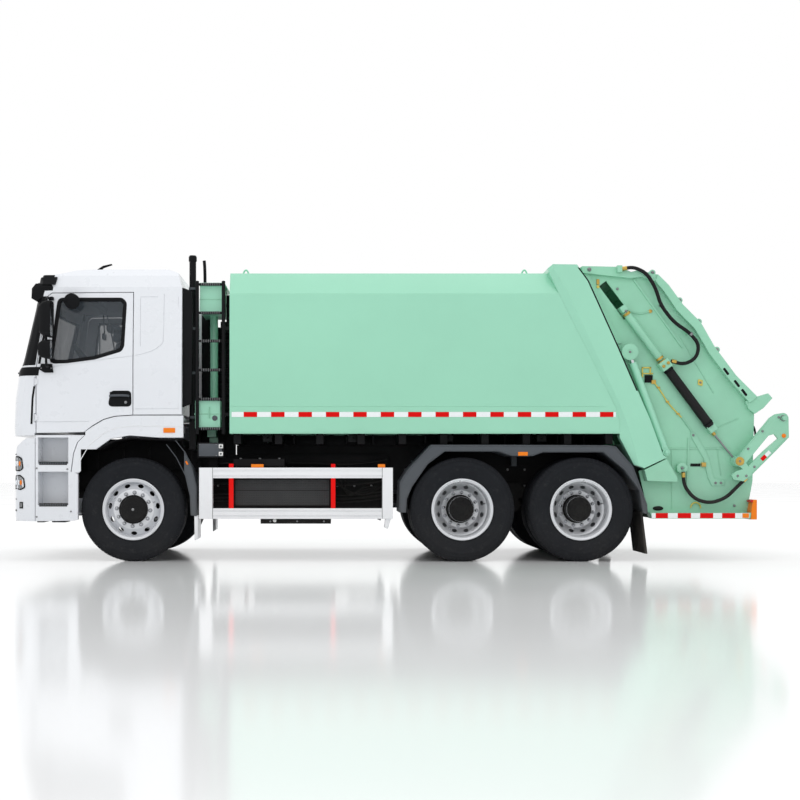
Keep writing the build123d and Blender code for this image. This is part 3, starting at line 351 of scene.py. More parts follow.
def cab_skin(t, z, lift=0.0):
    """Point of the cab's outer face at plan distance t and height z, moved outward by lift."""
    if t <= 0:
        i, rest = 0, LENGTHS[0] + t
    elif t >= AROUND:
        i, rest = len(LENGTHS) - 1, t - AROUND
    else:
        i, rest = 1, t
        while rest > LENGTHS[i]:
            rest -= LENGTHS[i]
            i += 1
    (x0, y0), (x1, y1) = PLAN[i], PLAN[i + 1]
    share = rest / LENGTHS[i]
    dx, dy = (x1 - x0) / LENGTHS[i], (y1 - y0) / LENGTHS[i]
    limit = table(LEAN, z)
    y = max(-limit, min(limit, y0 + (y1 - y0) * share))
    return Vector((x0 + (x1 - x0) * share + table(SET_BACK, z) - dy * lift, y + dx * lift, z))


def rounded(points, radius, steps=5):
    """Closed outline with its corners rounded."""
    made = []
    count = len(points)
    for i in range(count):
        a, b, c = Vector(points[i - 1]), Vector(points[i]), Vector(points[(i + 1) % count])
        p, q = (a - b), (c - b)
        turn = p.angle(q)
        run = min(radius / math.tan(turn / 2), p.length * 0.45, q.length * 0.45)
        start, end = b + p.normalized() * run, b + q.normalized() * run
        for k in range(steps + 1):
            f = k / steps
            made.append(tuple(start * (1 - f) ** 2 + b * 2 * f * (1 - f) + end * f ** 2))
    return made


def moved(points, d):
    """Closed outline moved outward by d."""
    area = sum(a[0] * b[1] - b[0] * a[1] for a, b in zip(points, points[1:] + points[:1]))
    side = 1 if area > 0 else -1
    made = []
    count = len(points)
    for i in range(count):
        a, b, c = Vector(points[i - 1]), Vector(points[i]), Vector(points[(i + 1) % count])
        p, q = (b - a).normalized(), (c - b).normalized()
        n = Vector((p.y + q.y, -p.x - q.x))
        n = n / max(n.length_squared / 2, 0.4)
        made.append(tuple(b + n * d * side))
    return made


def ring_on(form, outline, section, place, mark=0):
    """Closed ring along an outline; section is (outward, lift) points, place gives the point in space."""
    loops = [[place(a, b, lift) for a, b in moved(outline, out)] for out, lift in section]
    count, depth = len(outline), len(section)
    verts = [v for loop in loops for v in loop]
    faces = []
    for k in range(depth):
        m = (k + 1) % depth
        for i in range(count):
            j = (i + 1) % count
            faces.append((k * count + i, k * count + j, m * count + j, m * count + i))
    form.add(verts, faces, mark)


def patch_on(form, left, right, low, high, place, lift, thick, mark=0, cols=8, rows=6):
    """Closed sheet laid on a face between two a-limits, numbers or functions of b, and two b-limits."""
    left, right = [side if callable(side) else lambda b, fixed=side: fixed for side in (left, right)]
    verts, faces = [], []
    for level in (lift, lift - thick):
        for r in range(rows + 1):
            b = low + (high - low) * r / rows
            for c in range(cols + 1):
                a = left(b) + (right(b) - left(b)) * c / cols
                verts.append(place(a, b, level))
    wide = cols + 1
    layer = wide * (rows + 1)
    for r in range(rows):
        for c in range(cols):
            i = r * wide + c
            faces.append((i, i + 1, i + wide + 1, i + wide))
            faces.append((layer + i, layer + i + wide, layer + i + wide + 1, layer + i + 1))
    edge = [*range(wide), *[r * wide + cols for r in range(1, rows + 1)],
        *[rows * wide + c for c in range(cols - 1, -1, -1)], *[r * wide for r in range(rows - 1, 0, -1)]]
    for i, j in zip(edge, edge[1:] + edge[:1]):
        faces.append((i, layer + i, layer + j, j))
    form.add(verts, faces, mark)


def side_skin(x, z, lift=0.0):
    """Point of the cab's left side at x and z."""
    return cab_skin(run_at(x, z), z, lift)


def both_sides(make, name, body, slot, finishes, *replaced):
    """Makes a left form and its mirrored twin, and fits them to the body, or each to its own door."""
    for word, s in SIDES:
        form = Form()
        make(form)
        if s > 0:
            form.verts = [(x, -y, z) for x, y, z in form.verts]
            form.faces = [face[::-1] for face in form.faces]
        piece = form.object(f"{name}_{word}", finishes)
        fit(piece, f"door_{word}" if body == "door" else body, slot, *[f"{node}_{word}" for node in replaced])


# ---- shader groups and materials ----

def srgb(r, g, b):
    """Linear colour of an 8-bit screen colour."""
    def one(v):
        v /= 255
        return v / 12.92 if v <= 0.04045 else ((v + 0.055) / 1.055) ** 2.4
    return (one(r), one(g), one(b), 1.0)


def shade(colour, factor):
    """The colour made lighter or darker."""
    return tuple(min(1.0, c * factor) for c in colour[:3]) + (1.0,)


def new_group(name, inputs, outputs):
    """Empty shader node group with named inputs and outputs; returns its tree, entry and exit nodes."""
    tree = bpy.data.node_groups.new(name, "ShaderNodeTree")
    for label, value in inputs.items():
        socket = tree.interface.new_socket(name=label, in_out="INPUT", socket_type="NodeSocketFloat")
        socket.default_value = value
    for label in outputs:
        kind = "NodeSocketVector" if label == "Normal" else "NodeSocketFloat"
        tree.interface.new_socket(name=label, in_out="OUTPUT", socket_type=kind)
    return tree, tree.nodes.new("NodeGroupInput"), tree.nodes.new("NodeGroupOutput")


def node(tree, kind, **values):
    """New shader node; names of inputs and properties set from values."""
    made = tree.nodes.new(kind)
    for key, value in values.items():
        if key in made.inputs:
            made.inputs[key].default_value = value
        else:
            setattr(made, key, value)
    return made


def join(tree, source, target):
    """Links an output socket to an input socket."""
    tree.links.new(source, target)


def feed(tree, targets, values):
    """Gives each input socket its value: a link where the value is a socket, a plain value otherwise."""
    for target, value in zip(targets, values):
        if hasattr(value, "default_value"):
            join(tree, value, target)
        else:
            target.default_value = value


def math_node(tree, operation, a, b, clamp=False):
    """Math node on sockets or numbers; returns its output."""
    made = node(tree, "ShaderNodeMath", operation=operation, use_clamp=clamp)
    feed(tree, made.inputs, (a, b))
    return made.outputs[0]


def times(tree, a, b, clamp=False):
    """Product of two sockets or numbers."""
    return math_node(tree, "MULTIPLY", a, b, clamp)


def mix_colour(tree, factor, a, b):
    """Colour mix of sockets or plain colours; returns its output."""
    made = node(tree, "ShaderNodeMix", data_type="RGBA")
    feed(tree, (made.inputs[0], *made.inputs[6:8]), (factor, a, b))
    return made.outputs[2]


def spread_node(tree, source, low, high, to_low=0.0, to_high=1.0):
    """Map Range from one span to another; returns its output."""
    made = node(tree, "ShaderNodeMapRange")
    feed(tree, made.inputs, (source, low, high, to_low, to_high))
    return made.outputs[0]


def noise_node(tree, place, scale, detail=3.0, rough=0.55):
    """Noise texture on a coordinate socket; returns its value."""
    made = node(tree, "ShaderNodeTexNoise", Scale=scale, Detail=detail, Roughness=rough)
    join(tree, place, made.inputs["Vector"])
    return made.outputs[0]


def object_place(tree):
    """Coordinates of the shaded point in the object's own space."""
    return node(tree, "ShaderNodeTexCoord").outputs["Object"]


def road_dust_group():
    """Mask of dust that thickens towards the road and gathers in patches."""
    tree, entry, leave = new_group("road_dust", {"Amount": 0.3, "Top": 1.4}, ("Mask",))
    place = object_place(tree)
    apart = node(tree, "ShaderNodeSeparateXYZ")
    join(tree, place, apart.inputs[0])
    fall = spread_node(tree, apart.outputs["Z"], entry.outputs["Top"], 0.0)
    patches = spread_node(tree, noise_node(tree, place, 2.3, 5.0, 0.65), 0.35, 0.75, 0.25)
    specks = spread_node(tree, noise_node(tree, place, 60.0, 2.0), 0.35, 0.7, 0.6)
    low_down = times(tree, math_node(tree, "POWER", fall, 1.6), patches)
    amount = times(tree, specks, entry.outputs["Amount"])
    join(tree, times(tree, low_down, amount, clamp=True), leave.inputs[0])
    return tree


def edge_group():
    """Rounded normal along sharp edges, and the mask of those edges broken up by noise; the mask carries worn paint,
    and a painted highlight where the edge colour is lighter.
    """
    tree, entry, leave = new_group("eased_edges", {"Radius": 0.004, "Wear": 0.5}, ("Mask", "Normal"))
    bevel = node(tree, "ShaderNodeBevel", samples=4)
    join(tree, entry.outputs["Radius"], bevel.inputs["Radius"])
    dot = node(tree, "ShaderNodeVectorMath", operation="DOT_PRODUCT")
    feed(tree, dot.inputs, (bevel.outputs[0], node(tree, "ShaderNodeNewGeometry").outputs["Normal"]))
    bent = math_node(tree, "SUBTRACT", 1.0, dot.outputs["Value"])
    place = object_place(tree)
    broken = spread_node(tree, noise_node(tree, place, 35.0, 4.0, 0.7), 0.42, 0.68)
    edge = spread_node(tree, bent, 0.02, 0.25)
    join(tree, times(tree, times(tree, edge, broken), entry.outputs["Wear"], clamp=True), leave.inputs["Mask"])
    join(tree, bevel.outputs[0], leave.inputs["Normal"])
    return tree


def relief_group():
    """Height of a fine grain over a slow waviness."""
    tree, entry, leave = new_group("surface_relief", {"Grain": 300.0, "Wave": 1.5, "Wave Share": 0.5}, ("Height",))
    place = object_place(tree)
    fine = node(tree, "ShaderNodeTexNoise", Detail=2.0)
    slow = node(tree, "ShaderNodeTexNoise", Detail=1.0)
    for made, label in ((fine, "Grain"), (slow, "Wave")):
        join(tree, place, made.inputs["Vector"])
        join(tree, entry.outputs[label], made.inputs["Scale"])
    slow_part = times(tree, slow.outputs[0], entry.outputs["Wave Share"])
    join(tree, math_node(tree, "ADD", fine.outputs[0], slow_part), leave.inputs[0])
    return tree


GROUPS = {}
MATERIALS = {}
ROUGH_SPREAD = 0.05


def group_node(tree, name, **values):
    """A shared group placed in a material with its own values."""
    makers = {"road_dust": road_dust_group, "eased_edges": edge_group, "surface_relief": relief_group}
    if name not in GROUPS:
        GROUPS[name] = makers[name]()
    made = node(tree, "ShaderNodeGroup", node_tree=GROUPS[name])
    for key, value in values.items():
        made.inputs[key].default_value = value
    return made


def new_material(name, **values):
    """Empty finish with the given values on its shader, kept by name; returns its tree, shader and coordinates."""
    material = bpy.data.materials.new(name)
    material.use_nodes = True
    MATERIALS[name] = material
    tree = material.node_tree
    shader = tree.nodes["Principled BSDF"]
    for key, value in values.items():
        shader.inputs[key.replace("_", " ")].default_value = value
    return tree, shader, object_place(tree)


def finish(name, colour, rough, metallic=0.0, coat=0.0, mottle=0.06, mottle_scale=1.2, dust=0.12, dust_top=1.3,
        edge=0.0, edge_wear_and_highlight_colour=None, radius=0.004, grain=300.0, grain_depth=0.0003, wave=1.4, wave_share=0.0, sheen=0.0,
        pattern=None, specular=0.5):
    """Surface finish with colour variation, road dust, eased edges and relief; pattern may repaint the colour."""
    tree, shader, place = new_material(name, Metallic=metallic, Coat_Weight=coat, Coat_Roughness=0.06,
        Sheen_Weight=sheen, Specular_IOR_Level=specular)
    drift = noise_node(tree, place, mottle_scale, 4.0, 0.6)
    base = mix_colour(tree, spread_node(tree, drift, 0.3, 0.7), shade(colour, 1 - mottle), shade(colour, 1 + mottle))
    relief = group_node(tree, "surface_relief", **{"Grain": grain, "Wave": wave, "Wave Share": wave_share})
    height = relief.outputs["Height"]
    rough_out = spread_node(tree, noise_node(tree, place, 7.0, 4.0), 0.3, 0.7, rough - ROUGH_SPREAD,
        rough + ROUGH_SPREAD)
    if pattern:
        base, rough_out, height = pattern(tree, place, base, rough_out, height)
    edges = group_node(tree, "eased_edges", Radius=radius, Wear=edge)
    # Edge colour along the mask: worn paint on some finishes, a painted highlight on others; the default, a lighter
    # copy of the colour, is a painted highlight.
    if edge:
        base = mix_colour(tree, edges.outputs["Mask"], base, edge_wear_and_highlight_colour or shade(colour, 1.4))
    if dust:
        veil = group_node(tree, "road_dust", Amount=dust, Top=dust_top)
        base = mix_colour(tree, veil.outputs["Mask"], base, srgb(150, 143, 132))
        rough_out = math_node(tree, "ADD", rough_out, times(tree, veil.outputs["Mask"], 0.4), clamp=True)
    join(tree, base, shader.inputs["Base Color"])
    join(tree, rough_out, shader.inputs["Roughness"])
    bump = node(tree, "ShaderNodeBump", Distance=grain_depth)
    join(tree, height, bump.inputs["Height"])
    join(tree, edges.outputs["Normal"], bump.inputs["Normal"])
    join(tree, bump.outputs[0], shader.inputs["Normal"])


def glass(name, colour, rough=0.02, tint_alpha=0.55):
    """Tinted glass that is seen through, with a thin film of dust."""
    tree, shader, place = new_material(name, Base_Color=colour, IOR=1.45, Coat_Weight=0.3, Coat_Roughness=0.02)
    film = noise_node(tree, place, 3.0, 5.0, 0.6)
    join(tree, spread_node(tree, film, 0.3, 0.8, rough, rough + 0.05), shader.inputs["Roughness"])
    join(tree, spread_node(tree, film, 0.3, 0.8, tint_alpha, min(1.0, tint_alpha + 0.06)), shader.inputs["Alpha"])
    MATERIALS[name].surface_render_method = "BLENDED"


def rubber_pattern(tree, place, base, rough_out, height):
    """Scuffed rubber: pale rubbed patches over fine pores."""
    scuff = spread_node(tree, noise_node(tree, place, 18.0, 6.0, 0.75), 0.55, 0.8)
    colour = mix_colour(tree, times(tree, scuff, 0.35), base, srgb(74, 73, 72))
    return colour, math_node(tree, "SUBTRACT", rough_out, times(tree, scuff, 0.08)), height


def fabric_pattern(tree, place, base, rough_out, height):
    """Woven seat cloth: crossed threads with darker gaps."""
    waves = []
    for direction in ("Y", "Z"):
        wave = node(tree, "ShaderNodeTexWave", wave_type="BANDS", bands_direction=direction, Scale=95.0, Distortion=0.6)
        join(tree, place, wave.inputs["Vector"])
        waves.append(wave.outputs[1])
    weave = times(tree, waves[0], waves[1])
    colour = mix_colour(tree, weave, base, (0.085, 0.09, 0.1, 1))
    return colour, rough_out, times(tree, weave, 3.0)


def brushed_pattern(tree, place, base, rough_out, height):
    """Cast and machined metal: soft streaks and small stains."""
    stain = spread_node(tree, noise_node(tree, place, 14.0, 5.0, 0.7), 0.5, 0.8)
    colour = mix_colour(tree, times(tree, stain, 0.4), base, srgb(112, 112, 112))
    return colour, math_node(tree, "ADD", rough_out, times(tree, stain, 0.12)), height


def mesh_pattern(tree, place, base, rough_out, height):
    """Honeycomb of small holes in pressed sheet, painted near black as the shade inside them."""
    cells = node(tree, "ShaderNodeTexVoronoi", Scale=38.0, Randomness=0.0)
    join(tree, place, cells.inputs["Vector"])
    hole = spread_node(tree, cells.outputs["Distance"], 0.28, 0.36, 1.0, 0.0)
    # near-black colour in the holes: painted shade
    colour = mix_colour(tree, hole, base, (0.004, 0.004, 0.005, 1))
    return colour, rough_out, math_node(tree, "SUBTRACT", height, times(tree, hole, 6.0))


def make_palette(colours):
    """Every finish on the truck."""
    # The body's lighter green edge colour is a painted highlight, the tone of its lit chamfers.
    finish("body_paint", colours.body, 0.34, coat=0.35, mottle=0.035, mottle_scale=0.7, dust=0.1, dust_top=2.4,
        edge=0.25, edge_wear_and_highlight_colour=srgb(190, 232, 214), radius=0.008, grain=45.0, grain_depth=0.0006, wave=1.1,
        wave_share=3.0)
    finish("gate_paint", colours.gate, 0.4, coat=0.25, mottle_scale=1.6, dust=0.3, dust_top=2.6, edge=0.5,
        edge_wear_and_highlight_colour=srgb(108, 150, 128), radius=0.006, grain=70.0, grain_depth=0.0006, wave=2.0, wave_share=1.5)
    finish("cab_paint", colours.cab, 0.3, coat=0.25, mottle=0.006, mottle_scale=0.8, radius=0.01, grain=60.0,
        grain_depth=0.0001)
    finish("chassis_black", srgb(22, 22, 24), 0.55, mottle=0.25, mottle_scale=3.0, dust=0.22, edge=0.4,
        edge_wear_and_highlight_colour=srgb(80, 75, 70), grain=160.0, grain_depth=0.0005, specular=0.1)
    finish("dark_grey", srgb(70, 75, 81), 0.55, mottle_scale=2.0, dust=0.35, edge=0.3, edge_wear_and_highlight_colour=srgb(112, 116, 120),
        radius=0.01, grain=420.0, grain_depth=0.0004)
    finish("guard_white", srgb(238, 239, 242), 0.36, coat=0.2, mottle=0.03, dust=0.35, dust_top=1.2, edge=0.4,
        edge_wear_and_highlight_colour=srgb(160, 158, 154), radius=0.006, grain=120.0)
    finish("wheel_silver", colours.wheel, 0.3, metallic=0.45, mottle=0.02, mottle_scale=6.0, dust_top=1.0, grain=240.0,
        grain_depth=0.0002)
    finish("nut_steel", srgb(168, 170, 174), 0.24, metallic=0.85, mottle=0.05, mottle_scale=30.0, dust=0.1,
        dust_top=1.2, radius=0.002, grain_depth=0.0002)
    finish("tyre_rubber", srgb(30, 32, 36), 0.66, mottle=0.08, mottle_scale=5.0, dust=0.05, radius=0.003, grain=700.0,
        grain_depth=0.0004, pattern=rubber_pattern, specular=0.1)
    finish("flap_rubber", srgb(26, 26, 28), 0.66, mottle=0.2, mottle_scale=4.0, dust=0.5, dust_top=0.9, grain=500.0,
        grain_depth=0.0005, pattern=rubber_pattern, specular=0.15)
    finish("trim_black", srgb(18, 19, 21), 0.4, mottle=0.1, mottle_scale=3.0, dust=0.15, dust_top=1.6, edge=0.15,
        edge_wear_and_highlight_colour=srgb(60, 60, 62), radius=0.006, grain=520.0, specular=0.1)
    finish("post_red", colours.post, 0.46, dust=0.2, dust_top=1.1, grain=90.0, specular=0.15)
    finish("stripe_red", colours.stripe, 0.4, mottle=0.04, dust=0.04, dust_top=2.0, grain=900.0, grain_depth=0.0001,
        specular=0.12)
    finish("stripe_white", srgb(238, 242, 244), 0.28, coat=0.5, mottle=0.02, dust_top=2.0, grain=900.0,
        grain_depth=0.0001)
    finish("fitting_brass", srgb(196, 164, 84), 0.34, metallic=0.9, mottle=0.12, mottle_scale=9.0, dust=0.2,
        dust_top=2.6, pattern=brushed_pattern)
    finish("pipe_yellow", srgb(214, 196, 92), 0.42, metallic=0.2, mottle=0.08, dust=0.2, dust_top=2.6, grain=260.0,
        grain_depth=0.00005)
    finish("ram_chrome", srgb(206, 208, 212), 0.12, metallic=1.0, mottle=0.03, dust=0.05, dust_top=2.6, grain=260.0,
        grain_depth=0.00005)
    finish("bare_steel", srgb(140, 141, 143), 0.38, metallic=0.9, mottle=0.15, mottle_scale=8.0, dust=0.25,
        dust_top=1.6, pattern=brushed_pattern)
    finish("hose_rubber", srgb(20, 20, 21), 0.5, mottle=0.15, mottle_scale=10.0, dust_top=2.6, grain=800.0,
        grain_depth=0.0002, specular=0.2)
    finish("cabin_grey", srgb(88, 90, 94), 0.68, mottle_scale=3.0, dust=0.0, radius=0.008, grain=600.0)
    finish("seat_cloth", colours.seat, 0.86, mottle=0.1, mottle_scale=5.0, dust=0.0, grain=500.0, grain_depth=0.0004,
        sheen=0.3, pattern=fabric_pattern, specular=0.2)
    finish("sheet_mesh", srgb(46, 47, 49), 0.5, metallic=0.3, mottle=0.1, dust=0.3, dust_top=1.1, grain_depth=0.0008,
        pattern=mesh_pattern)
    finish("hopper_steel", srgb(120, 150, 134), 0.5, metallic=0.3, mottle=0.2, mottle_scale=3.0, dust=0.6, dust_top=3.0,
        edge=0.6, edge_wear_and_highlight_colour=srgb(160, 160, 158), grain=60.0, grain_depth=0.001, pattern=brushed_pattern)
    finish("lamp_amber", srgb(240, 126, 10), 0.34, coat=0.1, mottle=0.05, dust=0.03, dust_top=1.6, grain=240.0,
        specular=0.25)
    finish("lamp_red", srgb(200, 12, 10), 0.26, coat=0.3, mottle=0.05, dust=0.03, dust_top=1.6, grain=240.0,
        specular=0.25)
    finish("button_white", srgb(232, 232, 230), 0.4, mottle=0.02, dust=0.1, grain=260.0, grain_depth=0.00005)
    finish("mirror_face", srgb(226, 230, 234), 0.03, metallic=1.0, mottle=0.01, dust=0.0, grain=260.0,
        grain_depth=0.00005)
    glass("cab_glass", (0.06, 0.075, 0.09, 1), 0.02, 0.36)
    glass("screen_glass", (0.05, 0.06, 0.07, 1), 0.02, 0.5)
    glass("lamp_glass", (0.86, 0.88, 0.9, 1), 0.03, 0.22)


# CAD nodes that keep their shape, and the finish that each one gets
NODE_FINISH = {
    "chassis_black": "frame_rails subframe front_axle leaf_springs rear_axles powertrain knuckle_left knuckle_right "
                     "ladder side_boxes",
    "bare_steel": "tanks",
    "cab_paint": "cab_shell door_left door_right bumper cab_steps",
    "trim_black": "sun_visor mirror_left mirror_right grille intake_stack cab_extenders rear_cabinet",
    "cab_glass": "door_glass_left door_glass_right",
    "screen_glass": "windscreen",
    "lamp_glass": "headlamps",
    "cabin_grey": "dash",
    "seat_cloth": "seats",
    "dark_grey": "mudguards",
    "flap_rubber": "mud_flaps",
    "guard_white": "side_guards",
    "post_red": "guard_posts",
    "body_paint": "body_shell rear_frame hydraulic_tanks",
    "gate_paint": "gate_sides gate_hood lifter_arms packer_carriage ejector",
    "hopper_steel": "hopper packer_blade",
    "lamp_amber": "tail_lamps",
    "hose_rubber": "hoses packer_barrels",
    "wheel_silver": "wheel_front_left wheel_front_right wheel_rear_1_left wheel_rear_1_right wheel_rear_2_left "
                    "wheel_rear_2_right",
    "tyre_rubber": "tyre_front_left tyre_front_right tyres_rear_1_left tyres_rear_1_right tyres_rear_2_left "
                   "tyres_rear_2_right",
    "ram_chrome": "ram_rods",
}


def dress_nodes():
    """Gives the CAD nodes their finishes."""
    for name, nodes in NODE_FINISH.items():
        for label in nodes.split():
            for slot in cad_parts[label].material_slots:
                slot.material = MATERIALS[name]
    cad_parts["ram_barrels"].material_slots[0].material = MATERIALS["body_paint"]


# ---- geometry node trees for what repeats ----

TREES = {}


def repeat_tree(kind):
    """Tree that repeats its input mesh: in a ring about a crosswise axis, or in a row along a step."""
    tree = bpy.data.node_groups.new("repeat_" + kind, "GeometryNodeTree")
    for label, kind_of in (("Geometry", "Geometry"), ("Count", "Int"), ("Centre", "Vector"), ("Step", "Vector"),
            ("Finish", "Material")):
        tree.interface.new_socket(name=label, in_out="INPUT", socket_type="NodeSocket" + kind_of)
    tree.interface.new_socket(name="Geometry", in_out="OUTPUT", socket_type="NodeSocketGeometry")
    nodes, links = tree.nodes, tree.links
    entry, leave = nodes.new("NodeGroupInput"), nodes.new("NodeGroupOutput")
    line = nodes.new("GeometryNodeMeshLine")
    links.new(entry.outputs["Count"], line.inputs["Count"])
    place = nodes.new("GeometryNodeInstanceOnPoints")
    links.new(line.outputs[0], place.inputs["Points"])
    if kind == "ring":
        line.inputs["Offset"].default_value = (0, 0, 0)
        links.new(entry.outputs["Centre"], line.inputs["Start Location"])
        back = node(tree, "ShaderNodeVectorMath", operation="SCALE")
        back.inputs["Scale"].default_value = -1
        links.new(entry.outputs["Centre"], back.inputs[0])
        shift = nodes.new("GeometryNodeTransform")
        links.new(entry.outputs["Geometry"], shift.inputs["Geometry"])
        links.new(back.outputs[0], shift.inputs["Translation"])
        links.new(shift.outputs[0], place.inputs["Instance"])
        share = math_node(tree, "DIVIDE", nodes.new("GeometryNodeInputIndex").outputs[0], entry.outputs["Count"])
        turn = nodes.new("ShaderNodeCombineXYZ")
        links.new(times(tree, share, 2 * math.pi), turn.inputs["Y"])
        links.new(turn.outputs[0], place.inputs["Rotation"])
    else:
        line.inputs["Start Location"].default_value = (0, 0, 0)
        links.new(entry.outputs["Step"], line.inputs["Offset"])
        links.new(entry.outputs["Geometry"], place.inputs["Instance"])
    real = nodes.new("GeometryNodeRealizeInstances")
    links.new(place.outputs[0], real.inputs[0])
    paint = nodes.new("GeometryNodeSetMaterial")
    links.new(real.outputs[0], paint.inputs["Geometry"])
    links.new(entry.outputs["Finish"], paint.inputs["Material"])
    links.new(paint.outputs[0], leave.inputs[0])
    return tree


def repeat(form, name, kind, count, finish_name, centre=(0, 0, 0), step=(0, 0, 0)):
    """Repeats a form with the ring or row tree and returns the plain mesh object."""
    thing = form.object(name, finish_name)
    if kind not in TREES:
        TREES[kind] = repeat_tree(kind)
    tree = TREES[kind]
    modifier = thing.modifiers.new("repeat", "NODES")
    modifier.node_group = tree
    values = {"Count": count, "Centre": centre, "Step": step, "Finish": MATERIALS[finish_name]}
    for item in tree.interface.items_tree:
        if item.in_out == "INPUT" and item.name in values:
            modifier[item.identifier] = values[item.name]
    replace_mesh(thing)
    thing.data.name = name
    return thing


def merge(name, *things):
    """Joins finished objects into one piece."""
    work = bpy.data.meshes.new(name)
    verts, faces, marks, mats = [], [], [], []
    for thing in things:
        start = len(verts)
        verts += [v.co.copy() for v in thing.data.vertices]
        local = []
        for material in thing.data.materials:
            if material not in mats:
                mats.append(material)
            local.append(mats.index(material))
        for p in thing.data.polygons:
            faces.append([start + i for i in p.vertices])
            marks.append(local[p.material_index])
    work.from_pydata(verts, [], faces)
    work.polygons.foreach_set("material_index", marks)
    for material in mats:
        work.materials.append(material)
    work.validate()
    work.shade_smooth()
    work.set_sharp_from_angle(angle=math.radians(SHARP))
    for thing in things:
        removed(thing)
    return placed(name, work)


# ---- tyres and wheels ----

# half profile of a tyre as (radius, offset from the middle plane), from the bead out to the tread's middle
TYRE_HALF = [(0.322, 0.112), (0.334, 0.12), (0.346, 0.1225), (0.35, 0.129), (0.358, 0.1315), (0.362, 0.1285),
    (0.395, 0.1385), (0.43, 0.1445), (0.452, 0.1465), (0.478, 0.1462), (0.482, 0.1478), (0.492, 0.1476),
    (0.496, 0.1452), (0.522, 0.1425), (0.542, 0.1385), (0.556, 0.13), (0.57, 0.118), (0.5735, 0.1), (0.5735, 0.087),
    (0.57, 0.086), (0.57, 0.077), (0.58, 0.0755), (0.58, 0.0335), (0.567, 0.032), (0.567, 0.023), (0.58, 0.0215),
    (0.58, 0.0)]
LUG = [(0.556, 0.087), (0.58, 0.0875), (0.58, 0.116), (0.575, 0.1245), (0.557, 0.1385), (0.538, 0.144), (0.536, 0.135)]
LUG_COUNT = 76
LUG_SHARE = 0.88
NUT_R = 0.187
NUT_COUNT = 12
FRONT_NUT = 0.0195
REAR_NUT = 0.0185
FRONT_FACE = 0.102
REAR_FACE_Y = 0.954
FRONT_CAP = [(0, 0.1035), (0.1615, 0.1035), (0.1615, 0.1185), (0.156, 0.1235), (0.15, 0.1235), (0.147, 0.127),
    (0.132, 0.149), (0.115, 0.153), (0.114, 0.1515), (0.109, 0.152), (0.108, 0.1548), (0.062, 0.158), (0.06, 0.156),
    (0.054, 0.156), (0.052, 0.1585), (0.0, 0.1592)]
REAR_CAP = [(0, 0.957), (0.16, 0.957), (0.16, 0.964), (0.144, 0.966), (0.144, 1.07), (0.1415, 1.072), (0.1415, 1.108),
    (0.125, 1.129), (0.09, 1.133), (0.088, 1.129), (0.056, 1.129), (0.054, 1.134), (0.0, 1.1345)]


def tyre_form(form, centre):
    """Carcass of one tyre with its centre ribs."""
    ring = [(r, -o) for r, o in TYRE_HALF] + [(r, o) for r, o in TYRE_HALF[-2::-1]]
    form.lathe(ring, centre, (0, 1, 0), 80)


def lug_form(centre, s, lugs):
    """One shoulder lug on the side s of a tyre that has so many lugs."""
    form = Form()
    half = math.pi / lugs * LUG_SHARE
    low, high = [], []
    for r, o in LUG:
        for made, a in ((low, -half), (high, half)):
            skew = a + (0.012 if r > 0.57 and o < 0.1 else 0)
            made.append((centre[0] + r * math.sin(skew), centre[1] + s * o, centre[2] + r * math.cos(skew)))
    count = len(LUG)
    faces = [tuple(range(count)), tuple(range(2 * count - 1, count - 1, -1))]
    for i in range(count):
        j = (i + 1) % count
        faces.append((i, j, count + j, count + i))
    form.add(low + high, faces)
    return form


def make_tyre_piece(name, centres, lugs, body, replaced):
    """Tyres on one wheel body, with lugs on both shoulders."""
    form = Form()
    for centre in centres:
        tyre_form(form, centre)
    things = [form.object(name + "_carcass", "tyre_rubber", 28)]
    for i, centre in enumerate(centres):
        for s in (-1, 1):
            things.append(repeat(lug_form(centre, s, lugs), f"{name}_lugs_{i}_{s + 1}", "ring", lugs, "tyre_rubber",
                centre))
    fit(merge(name, *things), body, "tyre_rubber", replaced)


def nut_ring(name, centre, s, face, r, count, size, finish_name, phase=0.0):
    """Ring of wheel nuts on the face at a y distance from the middle."""
    form = Form()
    spot = (centre[0] + r * math.sin(phase), face, centre[2] + r * math.cos(phase))
    dome = ((0, 0), (1.25, 0), (1.25, 0.2), (0.92, 0.22), (0.9, 1.0), (0.72, 1.35), (0.36, 1.55), (0, 1.6))
    form.lathe([(a * size, b * size) for a, b in dome], spot, (0, s, 0), 14)
    return repeat(form, name, "ring", count, finish_name, centre)


